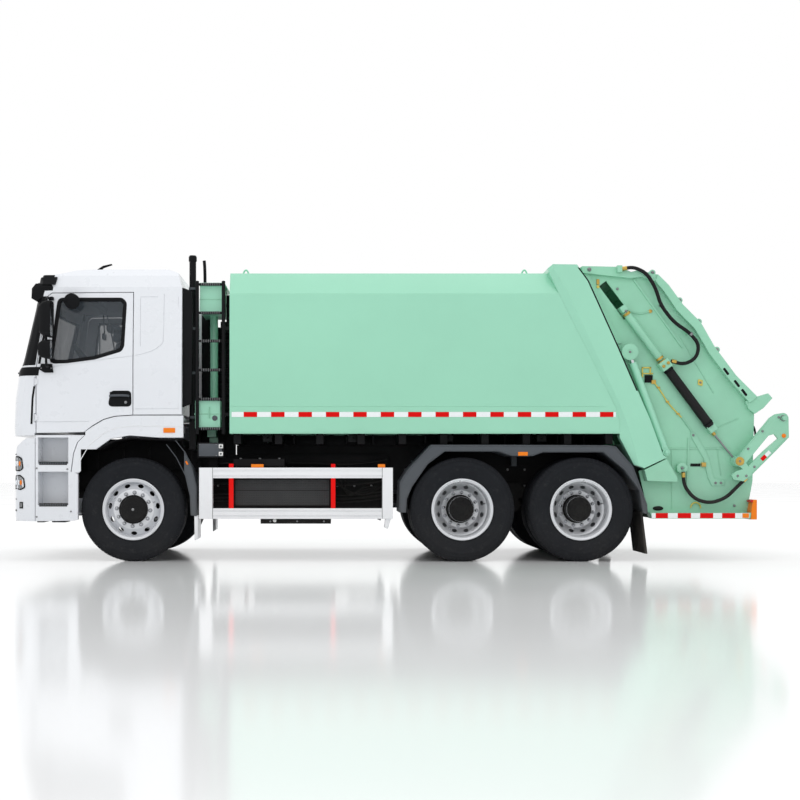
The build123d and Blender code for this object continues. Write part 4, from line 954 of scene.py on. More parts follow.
def make_wheels(sizes):
    """Tyres, nuts, hub caps and valves of all six wheels."""
    for word, s in SIDES:
        centre = (FRONT_AXLE_X, s * FRONT_TYRE_Y, AXLE_Z)
        body = "front_wheel_" + word
        make_tyre_piece("tyre_dressed_front_" + word, [centre], sizes.lug_count, body, "tyre_front_" + word)
        nuts = nut_ring("nuts_front_" + word, centre, s, s * (FRONT_TYRE_Y + FRONT_FACE), sizes.nut_circle,
            sizes.nut_count, FRONT_NUT, "nut_steel", 0.06)
        fit(nuts, body, "wheel_silver")
        cap = Form()
        cap.lathe(FRONT_CAP, centre, (0, s, 0), 64)
        cap.ball((centre[0], s * (FRONT_TYRE_Y + 0.16), centre[2]), (0.015, 0.004, 0.015), 1)
        cap.rod((centre[0] + 0.24, s * (FRONT_TYRE_Y + 0.06), centre[2] + 0.085),
            (centre[0] + 0.225, s * (FRONT_TYRE_Y + 0.115), centre[2] + 0.08), 0.0045, 8, 1)
        piece = cap.object("hub_cap_front_" + word, "trim_black bare_steel", 30)
        fit(piece, body, "chassis_black")
        for k, x in enumerate(REAR_AXLES_X, 1):
            body = f"rear_wheel_{k}_{word}"
            twins = [(x, s * y, AXLE_Z) for y in TWIN_Y]
            make_tyre_piece(f"tyres_dressed_rear_{k}_{word}", twins, sizes.lug_count, body, f"tyres_rear_{k}_{word}")
            hub = (x, s * REAR_FACE_Y, AXLE_Z)
            nuts = nut_ring(f"nuts_rear_{k}_{word}", hub, s, s * REAR_FACE_Y, sizes.nut_circle, sizes.nut_count,
                REAR_NUT, "nut_steel", 0.1 * k)
            fit(nuts, body, "wheel_silver")
            cap = Form()
            cap.lathe(REAR_CAP, (x, 0, AXLE_Z), (0, s, 0), 64)
            cap.rod((x + 0.255, s * 1.02, AXLE_Z + 0.06), (x + 0.265, s * 1.13, AXLE_Z + 0.065), 0.0045, 8, 1)
            piece = cap.object(f"hub_cap_rear_{k}_{word}", "trim_black bare_steel", 30)
            fit(piece, body, "chassis_black")
            bolts = nut_ring(f"hub_bolts_rear_{k}_{word}", (x, 0, AXLE_Z), s, s * 1.13, 0.105, 8, 0.0085, "trim_black",
                0.2)
            fit(bolts, body, "chassis_black")


# ---- rims and discs ----

RIM = [(0.3, -0.1365), (0.338, -0.1365), (0.3445, -0.134), (0.3445, -0.127), (0.321, -0.124), (0.312, -0.11),
    (0.312, 0.11), (0.321, 0.124), (0.3445, 0.127), (0.3445, 0.133), (0.34, 0.1365), (0.33, 0.1355), (0.324, 0.1295),
    (0.319, 0.1275), (0.314, 0.1285), (0.309, 0.1225), (0.305, 0.1125), (0.302, 0.11), (0.3, 0.1)]
FRONT_DISC = [(0.06, 0.086), (0.188, 0.086), (0.236, 0.064), (0.302, 0.03), (0.304, 0.046), (0.292, 0.056),
    (0.244, 0.082), (0.232, 0.091), (0.226, 0.0985), (0.218, 0.102), (0.06, 0.102)]
REAR_DISC = [(0.06, -0.152), (0.212, -0.152), (0.23, -0.14), (0.262, -0.119), (0.302, -0.09), (0.303, -0.074),
    (0.29, -0.08), (0.254, -0.104), (0.226, -0.126), (0.216, -0.1355), (0.208, -0.138), (0.06, -0.138)]
FRONT_VENTS = (11, 0.268, 0.0335, 0.0215)
REAR_VENTS = (12, 0.252, 0.029, 0.0185)


def cut(thing, tool):
    """Cuts one object out of another and keeps the plain mesh."""
    modifier = thing.modifiers.new("cut", "BOOLEAN")
    modifier.operation = "DIFFERENCE"
    modifier.solver = "EXACT"
    modifier.object = tool
    replace_mesh(thing)
    removed(tool)
    return thing


def disc_object(name, profile, centre, s, vents, low, high):
    """Wheel disc with a ring of oval vents cut through it."""
    form = Form()
    form.lathe(profile, centre, (0, s, 0), 72)
    disc = form.object(name, "wheel_silver", 30)
    count, pitch, wide, tall = vents
    tools = Form()
    for i in range(count):
        a = 2 * math.pi * (i + 0.5) / count
        u, v = Vector((math.cos(a), 0, -math.sin(a))), Vector((math.sin(a), 0, math.cos(a)))
        ring = [(tall * math.sin(2 * math.pi * k / 20), wide * math.cos(2 * math.pi * k / 20)) for k in range(20)]
        base = Vector(centre) + v * pitch + Vector((0, s * low, 0))
        tools.slab([(q, p) for p, q in ring], base, u, v, (0, s * (high - low), 0))
    return cut(disc, tools.object(name + "_tool", "wheel_silver"))


def make_rims():
    """Rims, discs with vents, hubs and drums in place of the plain ones."""
    for word, s in SIDES:
        centre = (FRONT_AXLE_X, s * FRONT_TYRE_Y, AXLE_Z)
        form = Form()
        axis = (0, s, 0)
        form.lathe(RIM, centre, axis, 80)
        form.tube(0.0401, 0.12, -0.06, 0.087, centre, axis, 40)
        form.tube(0.0401, 0.158, 0.1015, 0.112, centre, axis, 48)
        form.lathe([(0.12, -0.04), (0.205, -0.04), (0.205, 0.04), (0.198, 0.044), (0.19, 0.04), (0.19, -0.025),
            (0.12, -0.025)], centre, axis, 48)
        rest = form.object("rim_" + word, "wheel_silver", 30)
        disc = disc_object("disc_" + word, FRONT_DISC, centre, s, FRONT_VENTS, 0.02, 0.12)
        fit(merge("wheel_dressed_front_" + word, rest, disc), "front_wheel_" + word, "wheel_silver",
            "wheel_front_" + word)
        for k, x in enumerate(REAR_AXLES_X, 1):
            form = Form()
            outer, inner = (x, s * TWIN_Y[1], AXLE_Z), (x, s * TWIN_Y[0], AXLE_Z)
            form.lathe(RIM, outer, axis, 80)
            form.lathe([(r, -h) for r, h in RIM], inner, axis, 64)
            form.lathe([(r, -h) for r, h in REAR_DISC], inner, axis, 56)
            hub = (x, s * 0.925, AXLE_Z)
            form.lathe([(0.0501, -0.15), (0.185, -0.15), (0.185, -0.015), (0.14, -0.015), (0.14, 0.187),
                (0.0501, 0.187)], hub, axis, 48)
            form.lathe([(0.185, -0.29), (0.21, -0.29), (0.21, -0.06), (0.185, -0.04)], hub, axis, 48)
            rest = form.object(f"rim_{k}_{word}", "wheel_silver", 30)
            disc = disc_object(f"disc_{k}_{word}", REAR_DISC, outer, s, REAR_VENTS, -0.17, -0.05)
            fit(merge(f"wheel_dressed_rear_{k}_{word}", rest, disc), f"rear_wheel_{k}_{word}", "wheel_silver",
                f"wheel_rear_{k}_{word}")


# ---- cab outside ----

WINDOW = [(-3.891, 2.215), (-3.8, 2.925), (-3.1, 2.925), (-3.06, 2.88), (-3.085, 2.4), (-3.11, 2.35), (-3.4, 2.262),
    (-3.7, 2.222)]
RUBBER = [(-0.024, -0.024), (-0.026, -0.006), (-0.02, 0.003), (-0.004, 0.008), (0.01, 0.006), (0.016, 0.0),
    (0.014, -0.01), (-0.004, -0.024)]
DOOR_FRONT = [(1.3, -4.051), (2.149, -4.051), (2.96, -3.925)]
STAY_X, STAY_Y = -3.9, -1.402


def skin_line(form, points, radius, place, mark=0):
    """Thin bead along points of a face."""
    form.pipe([place(a, b) for a, b in points], radius, 6, mark, smooth=False)


def make_door_trim(form):
    """Window rubber, handle, round mirror and pressed lines of the left door."""
    ring_on(form, rounded(WINDOW, 0.055), RUBBER, side_skin)
    shell = rounded([(-3.247, 1.728), (-3.212, 1.897), (-2.994, 1.897), (-2.99, 1.728)], 0.045)
    ring_on(form, shell, [(0.0, -0.004), (0.004, 0.0035), (-0.006, 0.006), (-0.014, 0.001), (-0.014, -0.004)],
        side_skin)
    patch_on(form, -3.228, -3.0, 1.738, 1.887, side_skin, 0.0018, 0.004, 0, 4, 4)
    form.pipe([(-3.225, -1.246, 1.842), (-3.215, -1.272, 1.845), (-3.12, -1.279, 1.847), (-3.028, -1.272, 1.845),
        (-3.018, -1.246, 1.842)], 0.013, 10, 2)
    form.knob([(0.016, 0), (0.016, 0.006), (0.01, 0.009)], (-3.05, -1.2465, 1.772), OUT, 20, 3)
    skin_line(form, [(-3.984, 2.149), (-3.6, 2.205), (-3.214, 2.262), (-2.976, 2.289)], 0.0032, side_skin, 1)
    skin_line(form, [(-4.035, 1.556), (-3.8, 1.556), (-3.46, 1.562)], 0.0032, side_skin, 1)
    patch_on(form, lambda z: table(DOOR_FRONT, z) + 0.017, lambda z: table(DOOR_FRONT, z) + 0.045, 2.2, 2.95, side_skin,
        0.0025, 0.004, 0, 3, 10)
    form.side_slab([(-3.727, 2.928), (-3.727, 2.956), (-3.6, 2.956), (-3.612, 2.928)], -1.23, -1.198, 0.006)
    form.pipe([(-3.66, -1.205, 2.945), (-3.655, -1.262, 2.95), (-3.64, -1.292, 2.925)], 0.01, 8)
    form.lathe([(0, 0), (0.07, 0.0), (0.086, 0.012), (0.09, 0.03), (0.084, 0.036), (0, 0.038)], (-3.635, -1.285, 2.895),
        (0.0, -0.94, -0.34))
    form.lathe([(0, 0.038), (0.079, 0.036), (0.06, 0.046), (0.03, 0.052), (0, 0.054)], (-3.635, -1.285, 2.895),
        (0.0, -0.94, -0.34))


def make_cab_side(form):
    """Pillar panel, pressed lines and slot of the cab's left side."""
    patch_on(form, lambda z: run_at(table(DOOR_FRONT, z) - 0.012, z), lambda z: 0.335, 2.185, 2.955, cab_skin, 0.003,
        0.008, 0, 14, 14)
    patch_on(form, -0.002, 0.021, 1.53, 1.95, cab_skin, 0.002, 0.006, 0, 3, 12)
    skin_line(form, [(-2.947, 2.293), (-2.85, 2.315), (-2.762, 2.344), (-2.69, 2.385), (-2.639, 2.436), (-2.632, 2.6),
        (-2.629, 2.981)], 0.0032, side_skin, 1)
    skin_line(form, [(-2.892, 2.4), (-2.892, 2.95), (-2.7, 2.95)], 0.0028, side_skin, 1)
    skin_line(form, [(-2.947, 1.7), (-2.47, 1.7), (-2.47, 2.95)], 0.0028, side_skin, 1)
    form.side_slab([(-4.113, 2.935), (-4.108, 3.045), (-4.065, 3.1), (-3.9, 3.102), (-3.862, 3.06), (-3.868, 3.016),
        (-3.955, 3.012), (-3.965, 2.955), (-4.05, 2.897)], -1.198, -1.085, 0.014)
    form.side_slab([(-3.54, 3.262), (-3.5, 3.305), (-3.4, 3.372), (-3.3, 3.394), (-3.29, 3.38), (-3.39, 3.345),
        (-3.44, 3.3), (-3.4, 3.262)], -0.725, -0.7, 0.006)


def make_cab_face():
    """Windscreen rubber, cowl, wipers, grille slats, hatch line and roof lamps."""
    form = Form()
    start = next(t * 0.01 for t in range(60) if cab_skin(t * 0.01, 2.3).y > -1.11)
    end = AROUND - start
    screen = rounded([(start, 2.225), (start, 2.9), (end, 2.9), (end, 2.225)], 0.09)
    dense = []
    for a, b in zip(screen, screen[1:] + screen[:1]):
        parts = max(1, int(abs(b[0] - a[0]) / 0.12))
        dense += [(a[0] + (b[0] - a[0]) * k / parts, a[1] + (b[1] - a[1]) * k / parts) for k in range(parts)]
    ring_on(form, dense, [(-0.022, -0.02), (-0.024, -0.006), (-0.016, 0.002), (0.002, 0.006), (0.018, 0.005),
        (0.024, -0.001), (0.02, -0.012)], cab_skin)
    patch_on(form, -0.02, AROUND + 0.02, 2.07, 2.165, cab_skin, 0.0035, 0.008, 0, 60, 3)
    for z in (1.535, 1.615, 1.695, 1.775, 1.855, 1.925):
        patch_on(form, 0.72, AROUND - 0.72, z - 0.017, z + 0.017, cab_skin, -0.0015, 0.016, 1, 40, 2)
    seam = [(0.42 + (AROUND - 0.84) * k / 40, 2.03) for k in range(41)]
    skin_line(form, seam, 0.0035, cab_skin)
    for side in (0, 1):
        def t_of(t):
            return AROUND - t if side else t
        skin_line(form, [(t_of(0.42), 2.03), (t_of(0.42), 1.47), (t_of(0.46), 1.44)], 0.003, cab_skin)
        points = [cab_skin(t_of(0.42), 2.105, 0.002), cab_skin(t_of(0.42), 2.115, 0.02),
            cab_skin(t_of(0.47), 2.118, 0.026), cab_skin(t_of(0.6), 2.118, 0.026), cab_skin(t_of(0.65), 2.115, 0.02),
            cab_skin(t_of(0.65), 2.105, 0.002)]
        form.pipe(points, 0.011, 8)
    for first, tip in ((0.95, 1.55), (1.75, 2.35)):
        base = cab_skin(first, 2.14, 0.012)
        form.rod(base - Vector((0.0, 0, 0.015)), base + Vector((-0.006, 0, 0.012)), 0.019, 16, 0, 0.004)
        joint = cab_skin(tip - 0.1, 2.36, 0.016)
        form.pipe([base, (base + joint) / 2 + Vector((-0.012, 0, 0)), joint], 0.007, 8)
        blade = [cab_skin(tip - 0.42 + 0.72 * k / 10, 2.315 + 0.09 * k / 10, 0.004) for k in range(11)]
        form.pipe(blade, 0.008, 6, 0, smooth=False)
        carrier = [cab_skin(tip - 0.36 + 0.6 * k / 6, 2.323 + 0.075 * k / 6, 0.013) for k in range(7)]
        form.pipe(carrier, 0.004, 6, 2, smooth=False)
    form.side_slab([(-4.138, 2.962), (-4.132, 2.978), (-4.06, 3.06), (-4.02, 3.058), (-4.02, 3.046), (-4.052, 3.044),
        (-4.11, 2.966)], -1.02, 1.02, 0.004)
    patch_on(form, 0.06, AROUND - 0.06, 3.085, 3.172, cab_skin, 0.034, 0.05, 0, 60, 3)
    patch_on(form, 0.1, AROUND - 0.1, 3.16, 3.2, cab_skin, 0.012, 0.03, 0, 60, 2)
    for t in (0.62, AROUND - 0.62):
        patch_on(form, t - 0.07, t + 0.07, 3.108, 3.15, cab_skin, 0.038, 0.02, 3, 6, 2)
    for y in (-0.86, 0.0, 0.86):
        for dy in ((-0.18, 0, 0.18) if y == 0 else (0,)):
            form.block((-4.075, y + dy - 0.055, 3.058), (-4.02, y + dy + 0.055, 3.094), 0.01, 3)
    piece = form.object("cab_face_trim", "trim_black dark_grey bare_steel lamp_amber")
    fit(piece, "cab", "trim_black")


def make_roof():
    """Roof hatch, ribs and beacon sockets of the cab roof."""
    form = Form()
    hatch = rounded([(-3.4, -0.34), (-2.82, -0.34), (-2.82, 0.34), (-3.4, 0.34)], 0.07)

    def place(x, y, lift):
        top = [(-3.99, 3.178), (-3.77, 3.226), (-3.624, 3.265), (-3.214, 3.296), (-2.66, 3.3), (-2.48, 3.23)]
        return Vector((x, y, table(top, x) + lift))
    ring_on(form, hatch, [(0.0, -0.004), (0.012, 0.012), (-0.01, 0.03), (-0.03, 0.03), (-0.034, -0.004)], place)
    patch_on(form, -3.375, -2.845, -0.315, 0.315, place, 0.026, 0.03, 1, 6)
    for y in (-0.62, -0.5, 0.5, 0.62):
        patch_on(form, -3.6, -2.72, y - 0.018, y + 0.018, place, 0.007, 0.012, 1, 12, 2)
    for y in (-0.8, 0.8):
        form.knob([(0.055, 0.0), (0.055, 0.014), (0.04, 0.02), (0.018, 0.022), (0.018, 0.04)], (-3.55, y, 3.262), UP,
            20)
    piece = form.object("cab_roof_trim", "trim_black cab_paint")
    fit(piece, "cab", "cab_white")


def make_mirror_cluster(form):
    """Left mirrors: rounded housings, faces, stays and foot."""
    def housing(x0, x1, y0, y1, z0, z1, bulge):
        ring = rounded([(y0, z0), (y0, z1), (y1, z1), (y1, z0)], 0.045)
        count = len(ring)
        loops = []
        for share, x in ((0.55, x0), (0.86, x0 + 0.3 * (x1 - x0)), (1.0, x0 + 0.72 * (x1 - x0)), (1.0, x1 - 0.006),
                (0.97, x1), (0.9, x1 - 0.002), (0.88, x1 - 0.014)):
            cy, cz = (y0 + y1) / 2, (z0 + z1) / 2
            hold = 1 - (1 - share) * bulge
            loops.append([(x, cy + (y - cy) * share, cz + (z - cz) * hold) for y, z in ring])
        verts = [v for loop in loops for v in loop]
        faces = [tuple(range(count)), tuple(range(len(verts) - 1, len(verts) - 1 - count, -1))]
        for k in range(len(loops) - 1):
            for i in range(count):
                j = (i + 1) % count
                faces.append((k * count + i, k * count + j, (k + 1) * count + j, (k + 1) * count + i))
        form.add(verts, faces)
        face = [((y - cy) * 0.86 + cy, (z - cz) * 0.93 + cz) for y, z in ring]
        form.slab(face, (x1 - 0.012, 0, 0), (0, 1, 0), UP, (0.004, 0, 0), 0, 1)
    housing(-3.968, -3.835, -1.498, -1.302, 2.478, 2.878, 0.55)
    housing(-3.98, -3.838, -1.488, -1.312, 2.242, 2.45, 0.8)
    form.pipe([(STAY_X, -1.222, 2.925), (STAY_X, -1.3, 2.928), (STAY_X, -1.385, 2.918), (STAY_X, STAY_Y, 2.86),
        (STAY_X, STAY_Y, 2.24), (STAY_X, -1.395, 2.168), (STAY_X, -1.32, 2.16), (STAY_X, -1.25, 2.162)], 0.014, 12, 0,
        grain=14)
    form.block((-3.895, -1.262, 2.905), (-3.855, -1.203, 2.945), 0.008)
    form.side_slab([(-4.008, 2.135), (-3.99, 2.2), (-3.866, 2.198), (-3.852, 2.102), (-3.95, 2.1)], -1.262, -1.2455,
        0.005)
    for z in (2.86, 2.5, 2.43, 2.26):
        form.tube(0, 0.021, -0.012, 0.012, (STAY_X, STAY_Y, z), UP, 12)
    for x in (-3.985, -3.875):
        form.bolt((x, -1.262, 2.15), OUT, 0.007, 2)


# ---- bumper, lamps and steps ----

LAMP_FINISHES = "trim_black mirror_face lamp_glass lamp_amber lamp_glass"


def nose_point(y, z, inset):
    """Point of the bumper's front face at y and z, inset from the nose plan."""
    rows = [(a[1], a[0]) for a in PLAN[2:12]]
    return Vector((table(rows, y) + 0.008 + inset, y, z))


def bumper_skin(t, z, lift=0.0):
    """Point of the bumper's outer face at plan distance t."""
    point = cab_skin(t, 1.492, lift - 0.008)
    return Vector((point.x, point.y, z))


def make_corner_lamps(form):
    """Lamp units that wrap the left bumper corner, and the fog lamp's side."""
    for outline in ([(0.105, 1.035), (0.13, 1.15), (0.19, 1.172), (0.27, 1.172), (0.27, 1.012), (0.17, 1.01)],
            [(0.085, 0.82), (0.1, 0.93), (0.16, 0.962), (0.27, 0.955), (0.27, 0.812), (0.15, 0.8)]):
        shape = rounded(outline, 0.03, 4)
        ring_on(form, shape, [(0.004, -0.002), (0.004, 0.004), (-0.008, 0.006), (-0.012, 0.001), (-0.012, -0.002)],
            bumper_skin)
        centre = (sum(p[0] for p in shape) / len(shape), sum(p[1] for p in shape) / len(shape))
        for level, mark in ((0.0022, 0), (0.0042, 4)):
            count = len(shape)
            inner = [[c + (p - c) * 0.97 for p, c in zip(point, centre)] for point in shape]
            ring, under = [[bumper_skin(*point, lift) for point in inner] for lift in (level, level - 0.002)]
            top, low = bumper_skin(*centre, level), bumper_skin(*centre, level - 0.002)
            faces = [(i, (i + 1) % count, 2 * count) for i in range(count)]
            faces += [(count + (i + 1) % count, count + i, 2 * count + 1) for i in range(count)]
            faces += [(i, count + i, count + (i + 1) % count, (i + 1) % count) for i in range(count)]
            form.add(ring + under + [top, low], faces, mark)
        for k in range(3):
            spot = bumper_skin(centre[0] - 0.03 + 0.035 * k, centre[1], 0.0035)
            form.ball(spot, (0.012, 0.012, 0.03), 3 if k == 0 else 1, 10)
    patch_on(form, 0.11, 0.165, 0.592, 0.664, bumper_skin, 0.004, 0.008, 0, 4, 4)
    patch_on(form, 0.12, 0.155, 0.604, 0.652, bumper_skin, 0.006, 0.004, 4, 4, 4)


def make_headlamp(form):
    """Left lamp unit: housing, two reflector bowls, indicator and lens."""
    outline = rounded([(-1.138, 0.842), (-1.138, 1.168), (-0.772, 1.168), (-0.772, 0.842)], 0.05)
    ring_on(form, outline, [(0.0, 0.01), (0.0, -0.01), (-0.02, -0.014), (-0.022, -0.006)],
        lambda y, z, lift: nose_point(y, z, 0.014 - lift))
    form.block((-4.245, -1.14, 0.842), (-4.222, -0.772, 1.168), 0.006)
    for y, z, r in ((-0.865, 1.075, 0.072), (-0.865, 0.925, 0.066), (-1.02, 1.075, 0.066)):
        form.lathe([(0, 0.004), (r * 0.45, 0.008), (r * 0.8, 0.032), (r, 0.062), (r + 0.006, 0.062), (r * 0.84, 0.026),
            (r * 0.5, 0.0), (0, -0.004)], (-4.243, y, z), (-1, 0, 0), 32, 1)
        form.ball((-4.262, y, z), (0.016, 0.016, 0.016), 2, 14)
    form.block((-4.262, -1.1, 0.885), (-4.244, -0.955, 0.965), 0.012, 3)
    for k in range(7):
        form.block((-4.268, -1.095 + k * 0.02, 0.89), (-4.262, -1.085 + k * 0.02, 0.96), 0.002, 3)
    patch_on(form, -1.134, -0.776, 0.846, 1.164, lambda y, z, lift: nose_point(y, z, 0.013 - lift), 0.0, 0.004, 4, 12,
        8)


def make_front_lamps(form):
    """Left fog lamp, bumper lines and lower lip."""
    fog = nose_point(-0.76, 0.63, 0.002)
    form.knob([(0.058, 0.0), (0.062, 0.01), (0.054, 0.012), (0.048, 0.006)], fog, (-1, 0, 0), 28)
    form.lathe([(0, 0.006), (0.047, 0.006), (0.03, 0.011), (0, 0.013)], fog, (-1, 0, 0), 28, 2)
    skin = lambda y, z, lift: nose_point(y, z, -lift)
    patch_on(form, -1.165, -0.66, 0.56, 0.578, skin, 0.0015, 0.004, 0, 10, 1)
    patch_on(form, -1.165, -0.66, 0.69, 0.7, skin, 0.0015, 0.004, 0, 10, 1)
    patch_on(form, -0.7, 0, 1.005, 1.01, skin, 0.001, 0.004, 0, 10, 1)
    form.block((-4.3, -1.12, 0.452), (-4.085, 0.0, 0.466), 0.006, 1)
    for z in (0.812, 1.196):
        patch_on(form, -1.165, -0.74, z - 0.004, z + 0.004, skin, 0.001, 0.004, 0, 10, 1)


def make_step_trim(form):
    """Left step treads, edge strips, feet, arch marker and mud lip."""
    for x0, x1, z in ((-4.015, -3.702, 1.0925), (-4.012, -3.702, 0.6305)):
        form.block((x0, -1.236, z), (x1, -1.018, z + 0.012), 0.003)
        for i in range(8):
            for j in range(4):
                x, y = x0 + 0.028 + i * (x1 - x0 - 0.056) / 7, -1.21 + j * 0.055
                form.lathe([(0, 0), (0.01, 0), (0.007, 0.006), (0, 0.006)], (x, y, z + 0.012), UP, 8, 1)
        form.block((x0, -1.2455, z - 0.016), (x1, -1.232, z + 0.02), 0.004)
        for i in range(16):
            x = x0 + 0.012 + i * (x1 - x0 - 0.024) / 15
            form.block((x - 0.006, -1.247, z - 0.01), (x + 0.006, -1.245, z + 0.014), 0.0, 4)
    for x0, x1 in ((-4.046, -3.968), (-3.881, -3.727)):
        form.block((x0, -1.2, 0.436), (x1, -0.95, 0.458), 0.006)
    form.block((-2.633, -1.2485, 1.433), (-2.502, -1.236, 1.488), 0.005, 2)
    form.side_slab([(-2.415, 1.512), (-2.972, 1.512), (-3.15, 1.494), (-3.3, 1.43), (-3.46, 1.3), (-3.56, 1.13),
        (-3.575, 1.1), (-3.568, 1.1), (-3.552, 1.126), (-3.456, 1.292), (-3.296, 1.422), (-3.148, 1.486),
        (-2.972, 1.504), (-2.415, 1.504)], -1.2435, -1.239, 0.0, 3)
    for x, z in ((-4.04, 0.5), (-3.66, 0.56), (-4.04, 1.04), (-3.7, 1.03)):
        form.bolt((x, -1.241, z), OUT, 0.009, 1)


def make_arch_liner(form):
    """Dark liner over the left front wheel and the shield beside the engine."""
    arc = [(-3.385, 1.262), (-3.2, 1.352), (-3.0, 1.388), (-2.68, 1.366), (-2.44, 1.366), (-2.41, 1.262)]
    form.side_slab(arc + [(x + 0.012 * (x < -3), z - 0.014) for x, z in arc[-2::-1]], -1.19, -0.47)
    form.side_slab([(-3.62, 1.02), (-3.62, 1.385), (-2.35, 1.36), (-2.28, 1.02)], -0.484, -0.47, 0.002)
    for x in (-3.5, -3.2, -2.9, -2.6, -2.4):
        form.side_slab([(x - 0.012, 1.04), (x - 0.012, 1.34), (x + 0.012, 1.34), (x + 0.012, 1.04)], -0.492, -0.483,
            0.002, 1)
        form.bolt((x + 0.06, -0.485, 1.1), OUT, 0.01, 1)


# ---- cab inside and seats ----

def make_door_card(form):
    """Inner panel, arm rest and grab handle of the left door."""
    patch_on(form, -3.99, -3.01, 1.76, 2.17, side_skin, -0.0415, 0.008, 0, 10, 4)
    form.block((-3.75, -1.195, 1.93), (-3.15, -1.14, 1.985), 0.016)
    form.pipe([(-3.8, -1.19, 2.02), (-3.79, -1.15, 2.04), (-3.62, -1.15, 2.08), (-3.6, -1.19, 2.09)], 0.011, 10, 1)
    form.lathe([(0, 0), (0.075, 0), (0.07, 0.006), (0, 0.007)], (-3.86, -1.196, 1.86), (0, 1, 0), 28, 1)


def make_cabin():
    """Floor mat, tunnel, rear wall, roof lining, console, instruments, levers and inner mirror."""
    form = Form()
    blocks(form, [(-4.05, -3.55, -1.15, 1.15, 1.5, 1.512), (-3.5, -2.52, -1.15, 1.15, 1.7, 1.715)], 0.004, 1)
    blocks(form, [(-4.0, -2.6, -0.34, 0.34, 1.51, 1.84)], 0.05)
    blocks(form, [(-2.515, -2.48, -1.12, 1.12, 1.75, 3.0)], 0.01)
    for k in range(9):
        y = -1.0 + 0.25 * k
        blocks(form, [(-2.522, -2.512, y - 0.004, y + 0.004, 1.95, 2.95)], 0.002, 1)
    blocks(form, [(-2.98, -2.53, -1.05, 1.05, 1.715, 1.93)], 0.03)
    blocks(form, [(-3.6, -2.55, -0.95, 0.95, 3.175, 3.2), (-3.93, -3.64, -0.95, 0.95, 3.0, 3.1)], 0.02)
    hood = [(-4.02, 2.19), (-4.01, 2.275), (-3.93, 2.29), (-3.885, 2.262), (-3.93, 2.252), (-3.945, 2.19)]
    form.side_slab(hood, -0.83, -0.37, 0.006, 1)
    for y, r in ((-0.7, 0.048), (-0.52, 0.048), (-0.61, 0.024)):
        form.knob([(r, 0), (r + 0.004, 0.004), (r + 0.004, 0.008), (r, 0.009), (r - 0.002, 0.005)], (-3.948, y, 2.222),
            (1, 0, 0.2), 28, 2)
        form.rod((-3.942, y, 2.222), (-3.941, y + r * 0.5, 2.222 + r * 0.6), 0.0015, 6, 3)
    blocks(form, [(-3.862, -3.85, -0.26, 0.02, 2.02, 2.17), (-3.862, -3.852, 0.1, 0.3, 2.05, 2.15)], 0.004, 2)
    for k in range(6):
        blocks(form, [(-3.862, -3.85, 0.36 + 0.09 * k, 0.42 + 0.09 * k, 2.11, 2.15)], 0.003, 1 + k % 2)
    form.pipe([(-3.6, -0.24, 1.83), (-3.61, -0.25, 2.0), (-3.64, -0.26, 2.08)], 0.012, 10, 2)
    form.ball((-3.645, -0.262, 2.1), (0.03, 0.03, 0.034), 1)
    form.pipe([(-3.72, -0.64, 2.24), (-3.73, -0.74, 2.26), (-3.72, -0.8, 2.27)], 0.008, 8, 1)
    form.block((-3.64, -0.665, 2.262), (-3.598, -0.535, 2.33), 0.014, 1)
    for y in (-0.72, -0.6, -0.44):
        form.block((-4.04, y - 0.035, 1.58), (-4.02, y + 0.035, 1.7), 0.006, 1)
        form.rod((-4.12, y, 1.76), (-4.03, y, 1.66), 0.009, 8, 2)
    form.block((-3.7, 0.86, 2.685), (-3.672, 1.06, 2.765), 0.012, 1)
    form.rod((-3.686, 0.98, 2.76), (-3.7, 0.98, 3.02), 0.008, 8, 1)
    fit(form.object("cabin_fittings", "cabin_grey trim_black dark_grey stripe_white"), "cab", "trim_black")


CUSHION = [(-3.752, 1.858), (-3.242, 1.858), (-3.212, 1.978), (-3.4, 1.96), (-3.6, 1.966), (-3.732, 1.99)]
BACKREST = [(-3.322, 2.0), (-3.212, 2.0), (-3.142, 2.47), (-3.227, 2.47), (-3.268, 2.25), (-3.3, 2.12)]
HEADREST = [(-3.292, 2.508), (-3.178, 2.49), (-3.158, 2.65), (-3.2, 2.672), (-3.282, 2.672)]
PAD_CELL = 0.012
PAD_CAP = 0.024


